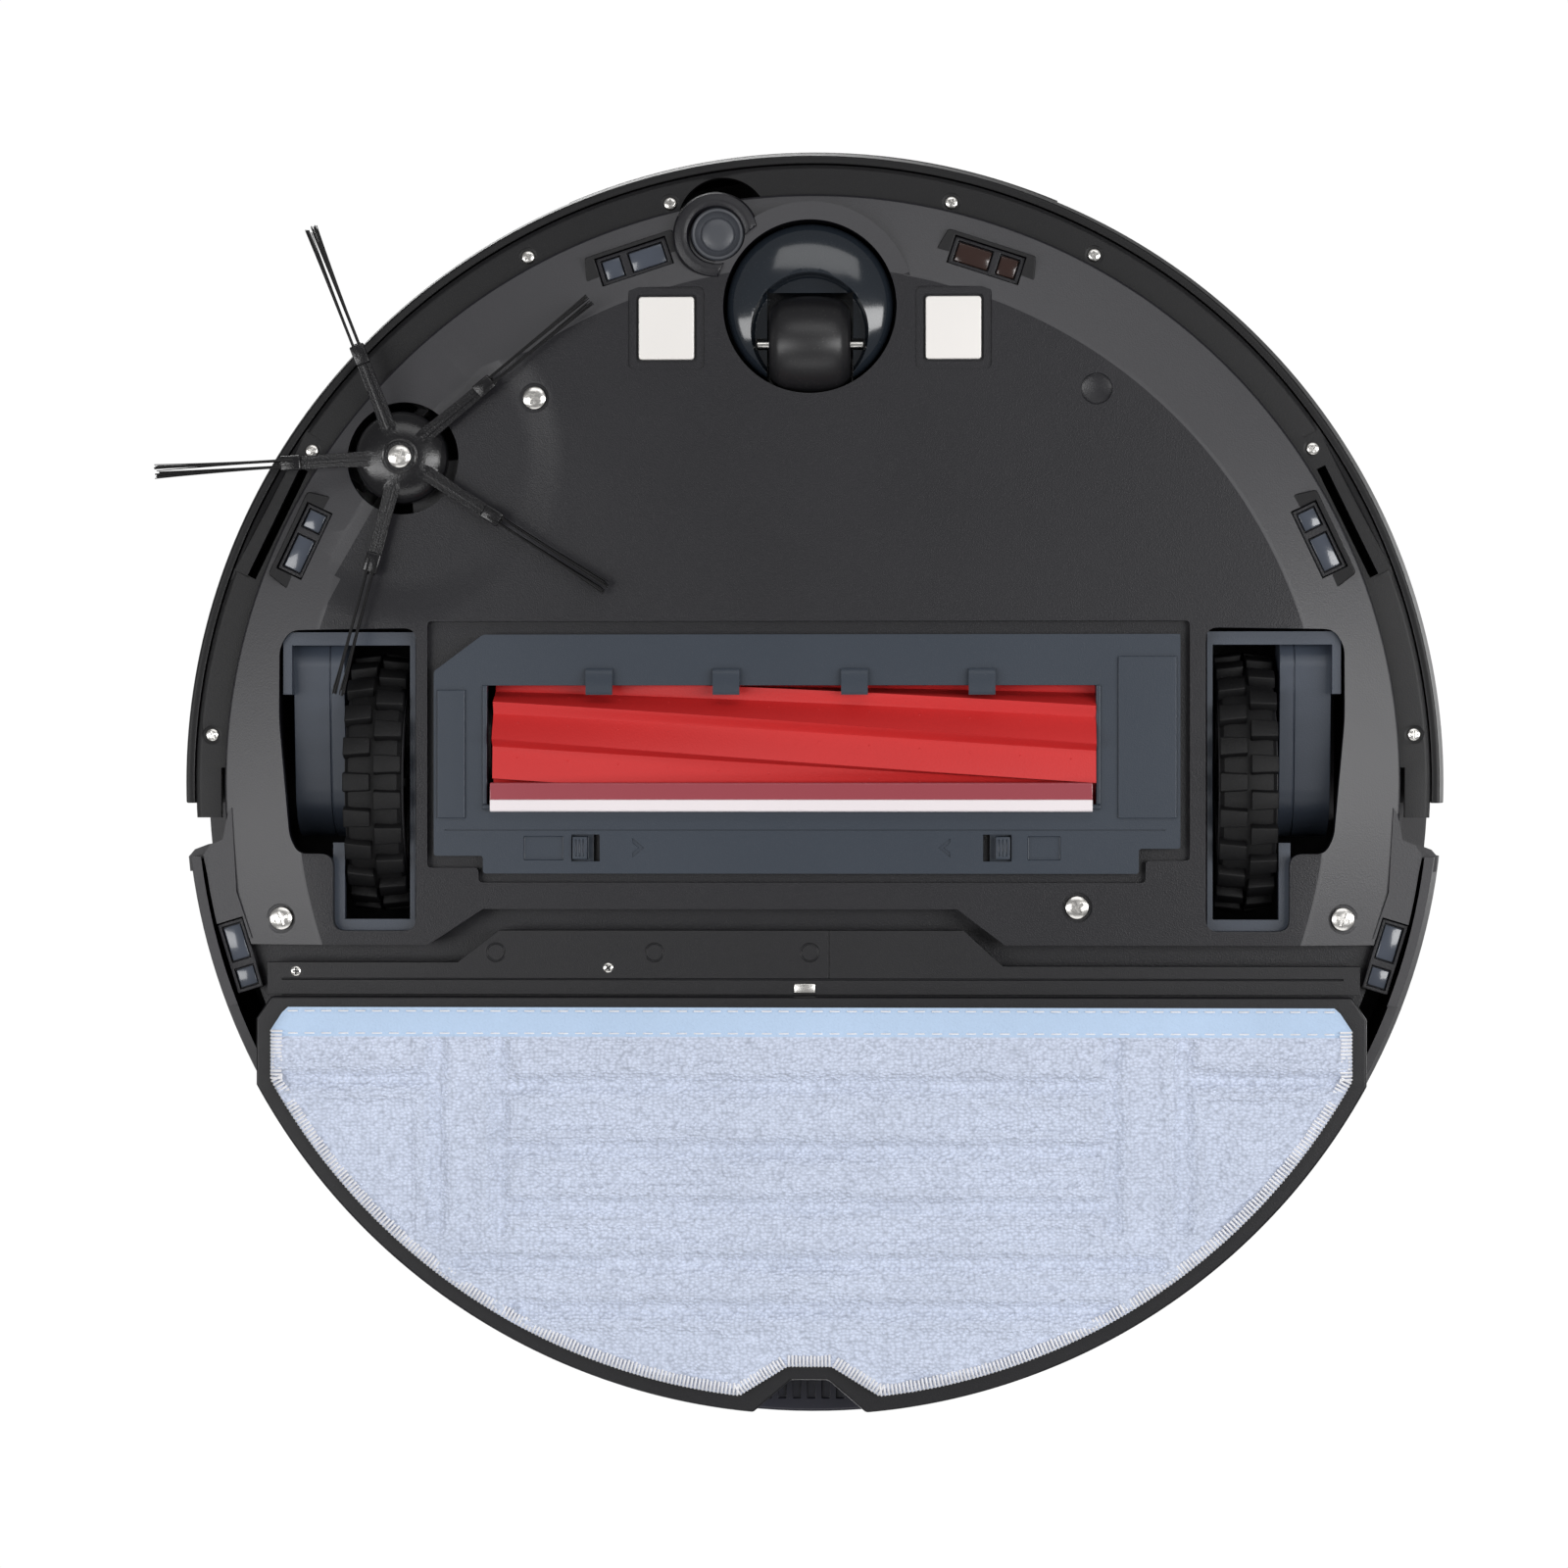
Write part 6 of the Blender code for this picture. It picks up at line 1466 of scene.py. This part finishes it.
COLUMNS, TAPE_ROWS, ROWS = 190, 5, 74
TOP = CLOTH_HIGH.z - 0.0002
pad = bmesh.new()
grid, held = [], []
for i in range(COLUMNS + 1):
    x = CLOTH_LOW.x + (CLOTH_HIGH.x - CLOTH_LOW.x) * i / COLUMNS
    start, end = cloth_front(x), cloth_rear(x)
    column = []
    for j in range(TAPE_ROWS + ROWS + 1):
        if j <= TAPE_ROWS:
            y = start + (TAPE_END - start) * j / TAPE_ROWS
        else:
            y = TAPE_END + (end - TAPE_END) * (j - TAPE_ROWS) / ROWS
        rim = min(j, TAPE_ROWS + ROWS - j, 2 * i, 2 * (COLUMNS - i))
        seam = to_channel(x, y)
        pinch = 0.0019 * math.exp(-((seam / 0.0018) ** 2))
        swell = 0.0007 * math.exp(-(((seam - 0.0042) / 0.0018) ** 2))
        thick = 0.0022 if j <= TAPE_ROWS else 0.0027 - pinch + swell
        thick *= min(1, 0.62 + 0.19 * rim)
        column.append(pad.verts.new((x, y, TOP - thick)))
        if rim < 2 or j in (TAPE_ROWS, 1) or seam < 0.0011:
            held.append(i * (TAPE_ROWS + ROWS + 1) + j)
    grid.append(column)
for a, b in zip(grid, grid[1:]):
    for j in range(len(a) - 1):
        face = pad.faces.new((a[j], a[j + 1], b[j + 1], b[j]))
        face.material_index = 1 if j < TAPE_ROWS else 0
mop_pad = from_bmesh("mop_pad", pad, MICROFIBRE, 180)
mop_pad.data.materials.append(BINDING)
if sum(p.normal.z for p in mop_pad.data.polygons) > 0:
    mop_pad.data.flip_normals()
# The pad is puffed out between its stitches, which stay where they are.
rest = [v.co.copy() for v in mop_pad.data.vertices]
stitched = mop_pad.vertex_groups.new(name="stitched")
stitched.add(held, 1.0, "REPLACE")
puff = mop_pad.modifiers.new("puff", "CLOTH")
puff.settings.quality = 4
puff.settings.mass = 0.05
puff.settings.tension_stiffness = puff.settings.compression_stiffness = 14
puff.settings.shrink_min = -0.008
puff.settings.use_pressure = True
puff.settings.uniform_pressure_force = 2.0
puff.settings.vertex_group_mass = "stitched"
puff.settings.effector_weights.gravity = 0
puff.collision_settings.use_collision = False
for frame_no in range(1, 13):
    bpy.context.scene.frame_set(frame_no)
settle(mop_pad)
bpy.context.scene.frame_set(1)
for v, home in zip(mop_pad.data.vertices, rest):
    moved = v.co - home
    if moved.length > 0.0016:
        moved *= 0.0016 / moved.length
    v.co = home + moved
    v.co.z = max(v.co.z, CLOTH_LOW.z + 0.0001)
thick = mop_pad.modifiers.new("backing", "SOLIDIFY")
thick.thickness = 0.0012
thick.offset = -1
settle(mop_pad)
shade(mop_pad, 80)
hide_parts("mop_cloth")
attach(mop_pad, "mop")

stitches = bmesh.new()
for row_y, rows in ((CLOTH_LOW.y + 0.0010, 62), (TAPE_END - 0.0009, 62)):
    for k in range(rows):
        x = CLOTH_LOW.x + 0.006 + (CLOTH_HIGH.x - CLOTH_LOW.x - 0.012) * k / (rows - 1)
        z = TOP - 0.0023 if row_y > 0.065 else TOP - 0.0021
        strand(stitches, [(x - 0.0013, row_y, z + 0.0002), (
            x - 0.0006, row_y, z - 0.0002
        ), (x + 0.0006, row_y, z - 0.0002), (x + 0.0013, row_y, z + 0.0002)], 0.00022)
edge_line = d_shape(CLOTH_LOW.y, CLOTH_HIGH.x, CLOTH_R, (0.0190, 0.0060, CLOTH_R - 0.0090), 150)[2:]
for a, b in zip(edge_line, edge_line[1:]):
    run = Vector(b) - Vector(a)
    along, steps = run.normalized(), max(1, round(run.length / 0.0010))
    inwards = Vector((-along.y, along.x))
    for k in range(steps):
        p = Vector(a) + run * (k + 0.5) / steps
        tip = p + inwards * dice.uniform(0.0029, 0.0034)
        strand(stitches, [(p.x, p.y, TOP - 0.0012), (
            p.x + inwards.x * 0.0008, p.y + inwards.y * 0.0008, TOP - 0.0026
        ), (tip.x, tip.y, TOP - 0.0029)], 0.00034, 5)
overlock = from_bmesh("cloth_thread", stitches, THREAD, 60)
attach(overlock, "mop")


# --- Water tank -------------------------------------------------------------
# A smoked dark tank across the rear, its back following the body, with a ribbed
# underside, a filler hole under the deck and a latch button in the middle.

TANK_SMOKED = finish_of("smoked navy tank", (
    0.0210, 0.0215, 0.0320
), 0.22, 1600, 0.00001, 0.06, 0.10, 0.02, Coat_Weight=0.35, Coat_Roughness=0.10)
tank_low, tank_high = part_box("water_tank")
latch_low, latch_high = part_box("tank_latch")
tank_line = [
    (0, tank_low.z), (BODY_RADIUS - 0.0030, tank_low.z), (BODY_RADIUS - 0.0024, tank_low.z + 0.0006)
] + shell_line(0.012)[2:] + [(0, DECK_LOW - 0.0006)]
tank = lathe("tank", tank_line[::-1], TANK_SMOKED)
cut(
    tank,
    box("before", (-FAR, -FAR, 0), (FAR, TANK_FRONT, FAR)), box(
        "left of", (-FAR, -FAR, 0), (-TANK_HALF, FAR, FAR)
    ), box("right of", (TANK_HALF, -FAR, 0), (FAR, FAR, FAR)),
    solver="MANIFOLD",
)
WALL = 0.0022
cut(
    tank,
    box("wide space", (
        -TANK_HALF + WALL, TANK_FRONT + WALL, tank_low.z + WALL
    ), (TANK_HALF - WALL, 0.1260, tank_high.z - WALL)),
    box("deep space", (-0.0700, 0.1200, tank_low.z + WALL), (0.0700, 0.1500, tank_high.z - WALL)),
    post("filler", 0.0110, tank_high.z - 0.004, FAR, (0.0700, 0.1000), steps=72),
    box("latch pocket", (
        -0.0160, BODY_RADIUS - 0.0130, latch_low.z - 0.0003
    ), (0.0160, FAR, latch_high.z + 0.0003)),
)
for k in range(-6, 7):
    cut(tank, box("rib gap", (0.0040 * k - 0.0011, 0.1560, 0), (
        0.0040 * k + 0.0011, BODY_RADIUS - 0.0060, tank_low.z + 0.0014
    )), solver="MANIFOLD")
band = lathe("band", [(
    BODY_RADIUS - 0.0012, 0.0685
), (BODY_RADIUS + 0.002, 0.0685), (BODY_RADIUS + 0.002, 0.0691), (BODY_RADIUS - 0.0012, 0.0691)], ring=True)
cut(tank, band, solver="MANIFOLD")
soften(tank, 0.0005, 3)
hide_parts("water_tank")
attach(tank, "tank")
rim = lathe("filler_rim", [(0.0104, tank_high.z - 0.0028), (
    0.0110, tank_high.z - 0.0028
), (0.0110, tank_high.z), (0.0104, tank_high.z)], TANK_SMOKED, (0.0700, 0.1000, 0), 72, ring=True)
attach(rim, "tank")
button = lathe("catch", tank_line[::-1], SLATE)
button_cuts = (
    (
        (-FAR, -FAR, 0), (FAR, latch_low.y, FAR)
    ), ((-FAR, -FAR, 0), (latch_low.x, FAR, FAR)), ((latch_high.x, -FAR, 0), (FAR, FAR, FAR)),
    ((-FAR, -FAR, -FAR), (FAR, FAR, latch_low.z)), ((-FAR, -FAR, latch_high.z), (FAR, FAR, FAR)),
)
cut(button, *[box("trim", low, high) for low, high in button_cuts], solver="MANIFOLD")
for k in range(3):
    z = latch_low.z + 0.0042 + 0.0034 * k
    cut(button, box(
        "grip line", (-0.0110, BODY_RADIUS - 0.0016, z - 0.0004), (0.0110, FAR, z + 0.0004)
    ), solver="MANIFOLD")
soften(button, 0.0006, 3)
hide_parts("tank_latch")
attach(button, "tank_catch")


# --- Laser turret -----------------------------------------------------------
# A black cup in the deck, a spinning head with two lenses behind a smoked face, and a
# cover on four posts with a turned ring in its top.

base_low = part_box("lidar_base")[0]
head_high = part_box("lidar_rotor")[1]
cap_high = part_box("lidar_cover")[1]
SEAT = BODY_HEIGHT + 0.0003
turret_base = lathe("turret_base", [
    (TURRET_R - 0.0006, SEAT), (TURRET_R, SEAT + 0.0004), (
        TURRET_R - 0.0004, SEAT + 0.0016
    ), (TURRET_R - 0.0014, SEAT + 0.0022), (TURRET_CUP - 0.0020, SEAT + 0.0022),
    (
        TURRET_CUP - 0.0020, base_low.z + 0.0020
    ), (0.0040, base_low.z + 0.0020), (0.0040, base_low.z), (TURRET_CUP, base_low.z), (TURRET_CUP, SEAT),
], TOP_ABS, (*TURRET, 0), 180, ring=True)
soften(turret_base, 0.0003)
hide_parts("lidar_base")
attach(turret_base, "vacuum")
rotor = lathe("turret_head", [
    (0, head_high.z), (0.0290, head_high.z), (
        0.0304, head_high.z - 0.0004
    ), (0.0310, head_high.z - 0.0012), (0.0310, base_low.z + 0.0100),
    (
        0.0300, base_low.z + 0.0092
    ), (0.0034, base_low.z + 0.0080), (0.0034, base_low.z + 0.0005), (0, base_low.z + 0.0005),
], HUB_BLACK, (*TURRET, 0), 144)
cut(rotor, box("face", (-0.0210, TURRET[1] - 0.040, 0.0735), (0.0210, TURRET[1] - 0.0250, 0.0885)))
for x in (-0.0095, 0.0095):
    barrel = post("lens barrel", 0.0062, -0.0262, -0.020, (0, 0), steps=64)
    barrel.data.transform(Matrix.Translation((x, TURRET[1], 0.0810)) @ Matrix.Rotation(-math.pi / 2, 4, "X"))
    join(rotor, barrel)
soften(rotor, 0.0003)
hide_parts("lidar_rotor")
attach(rotor, "lidar")
for number, x in enumerate((-0.0095, 0.0095)):
    lens = lathe(f"turret_lens_{number}", [
        (0, -0.0274), (0.0020, -0.0273), (0.0040, -0.0268), (0.0052, -0.0262), (0.0052, -0.0250), (0, -0.0250)
    ], SMOKED, steps=64)
    lens.data.transform(Matrix.Translation((x, TURRET[1], 0.0810)) @ Matrix.Rotation(-math.pi / 2, 4, "X"))
    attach(lens, "lidar")
cap = lathe("turret_cap", [
    (0, cap_high.z - 0.0003), (
        0.0300, cap_high.z - 0.0003
    ), (0.0304, cap_high.z - 0.0008), (0.0310, cap_high.z - 0.0008), (0.0314, cap_high.z),
    (TURRET_R - 0.0046, cap_high.z), (
        TURRET_R - 0.0024, cap_high.z - 0.0005
    ), (TURRET_R - 0.0008, cap_high.z - 0.0016), (TURRET_R, cap_high.z - 0.0030),
    (TURRET_R, cap_high.z - 0.0041), (TURRET_R - 0.0004, cap_high.z - 0.0045), (0, cap_high.z - 0.0045),
], TOP_ABS, (*TURRET, 0), 180)
for degrees in (35, 90, 145, 270):
    angle = math.radians(degrees)
    place = (0.0385 * math.cos(angle), TURRET[1] + 0.0385 * math.sin(angle))
    join(cap, post("turret post", 0.0022, SEAT + 0.0025, cap_high.z - 0.0040, place, steps=32))
soften(cap, 0.0003)
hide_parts("lidar_cover")
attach(cap, "vacuum")


# --- Lid and keys -----------------------------------------------------------
# The flush lid over the dustbin, and three keys marked with plain moulded glyphs.

nose = 0.0015
lid_line = arc(
    nose, 90, 270, 20, (LID_FRONT + nose, DECK_LOW + nose)
) + [(LID_REAR, DECK_LOW), (LID_REAR, BODY_HEIGHT)]
lid = side_slab("bin_lid", lid_line, -LID_HALF, LID_HALF, TOP_ABS)
for hand in (-1, 1):
    join(lid, post("lid pin", 0.0008, *sorted((
        hand * (LID_HALF - 0.001), hand * (LID_HALF + 0.0024)
    )), (LID_FRONT + nose, DECK_LOW + nose), axis="X", steps=24))
inlay = [(-LID_HALF + 0.005, LID_FRONT + 0.006), (
    LID_HALF - 0.005, LID_FRONT + 0.006
), (LID_HALF - 0.005, LID_REAR - 0.005), (-LID_HALF + 0.005, LID_REAR - 0.005)]
outer_line, inner_line = rounded(inlay, 0.004, 6), rounded(
    [(x - math.copysign(0.0006, x), y + (0.0006 if y < 0.06 else -0.0006)) for x, y in inlay], 0.0036, 6
)
trench = slab("trench", outer_line, BODY_HEIGHT - 0.0005, 0.09)
cut(trench, slab("island", inner_line, 0.05, 0.1))
cut(lid, trench)
soften(lid, 0.0003)
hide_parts("dust_lid")
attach(lid, "lid")
KEY_ABS = finish_of("soft grey key", (0.062, 0.066, 0.078), 0.40, 2600, 0.00003, 0.08, 0.08, 0.02)
for index, word in ((-1, "left"), (0, "centre"), (1, "right")):
    low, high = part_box(f"key_{word}")
    x = index * 0.034
    key = slab(f"key_top_{word}", key_line(index, 0.0), low.z, high.z, KEY_ABS)
    foot_half = (0.011 if index == 0 else 0.008) + 0.0016
    join(key, box(
        "foot", (x - foot_half, -0.1262, DECK_LOW - 0.0030), (x + foot_half, -0.1138, DECK_LOW - 0.0012)
    ))
    if index >= 0:
        mark = lathe("mark", [
            (0.0016, high.z - 0.0003), (0.0021, high.z - 0.0003), (0.0021, 0.09), (0.0016, 0.09)
        ], centre=(x, -0.120, 0), steps=48, ring=True)
    if index == 0:
        cut(mark, box("gap", (-0.0006, -0.1200, 0), (0.0006, -0.1150, 0.1)))
        cut(key, mark, box("bar", (-0.0003, -0.1206, high.z - 0.0003), (0.0003, -0.1184, 0.09)))
    elif index == 1:
        cut(key, mark)
    else:
        cut(key, slab(
            "house", [(x - 0.0020, -0.1184), (x, -0.1218), (x + 0.0020, -0.1184)], high.z - 0.0003, 0.09
        ))
    soften(key, 0.0003)
    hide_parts(f"key_{word}")
    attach(key, f"key_{word}_body")


# --- Inside the body --------------------------------------------------------
# The solids behind the floor and under the lid keep their shapes, with their edges eased
# and a finish each: chamber, bearings, motors, battery, board, bin, filter and fan.

CELL_BLUE = finish_of("blue shrink sleeve", (0.030, 0.050, 0.160), 0.30, 1200, 0.00005, 0.10, 0.10, 0.02)
BOARD_GREEN = finish_of("green varnished board", (0.010, 0.080, 0.028), 0.34, 1800, 0.00003, 0.22, 0.14, 0.05)
PAPER = finish_of("pleated filter paper", (0.70, 0.69, 0.65), 0.90, 900, 0.00012, 0.10, 0.05, 0.08)
PUMP_WHITE = finish_of("matt white moulding", (0.60, 0.60, 0.57), 0.50, 2200, 0.00004, 0.06, 0.08, 0.04)
MOTOR_CAN = finish_of(
    "zinc plated can", (0.42, 0.42, 0.43), 0.34, 4200, 0.00001, 0.10, 0.16, 0.03, Metallic=1.0
)
INSIDE = {
    "brush_housing": BLACK_ABS, "brush_bearing_left": HUB_BLACK, "brush_bearing_right": HUB_BLACK,
    "brush_motor": MOTOR_CAN, "side_brush_motor": HUB_BLACK,
    "battery_pack": CELL_BLUE, "main_board": BOARD_GREEN, "dustbin": SMOKED, "dust_filter": PAPER,
    "suction_fan": PUMP_WHITE,
}
for name, look in INSIDE.items():
    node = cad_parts[name]
    node.data.materials.clear()
    node.data.materials.append(look)
    weld = node.modifiers.new("weld", "WELD")
    weld.merge_threshold = 0.00001
    edge = node.modifiers.new("eased edges", "BEVEL")
    edge.width = 0.0003
    edge.segments = 2
    edge.limit_method = "ANGLE"
    edge.angle_limit = math.radians(40)
# Pleats of the filter show when the lid is open.
filter_low, filter_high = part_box("dust_filter")
pleats = bmesh.new()
count = 22
for k in range(count):
    y = filter_low.y + 0.0012 + (filter_high.y - filter_low.y - 0.0024) * k / (count - 1)
    bmesh.ops.create_cube(pleats, size=1.0, matrix=Matrix.Translation(
        (filter_low.x - 0.0004, y, (filter_low.z + filter_high.z) / 2)
    ) @ Matrix.Diagonal((0.0010, 0.0006, filter_high.z - filter_low.z - 0.0040, 1)))
pleat_piece = from_bmesh("filter_pleats", pleats, PAPER)
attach(pleat_piece, "vacuum")
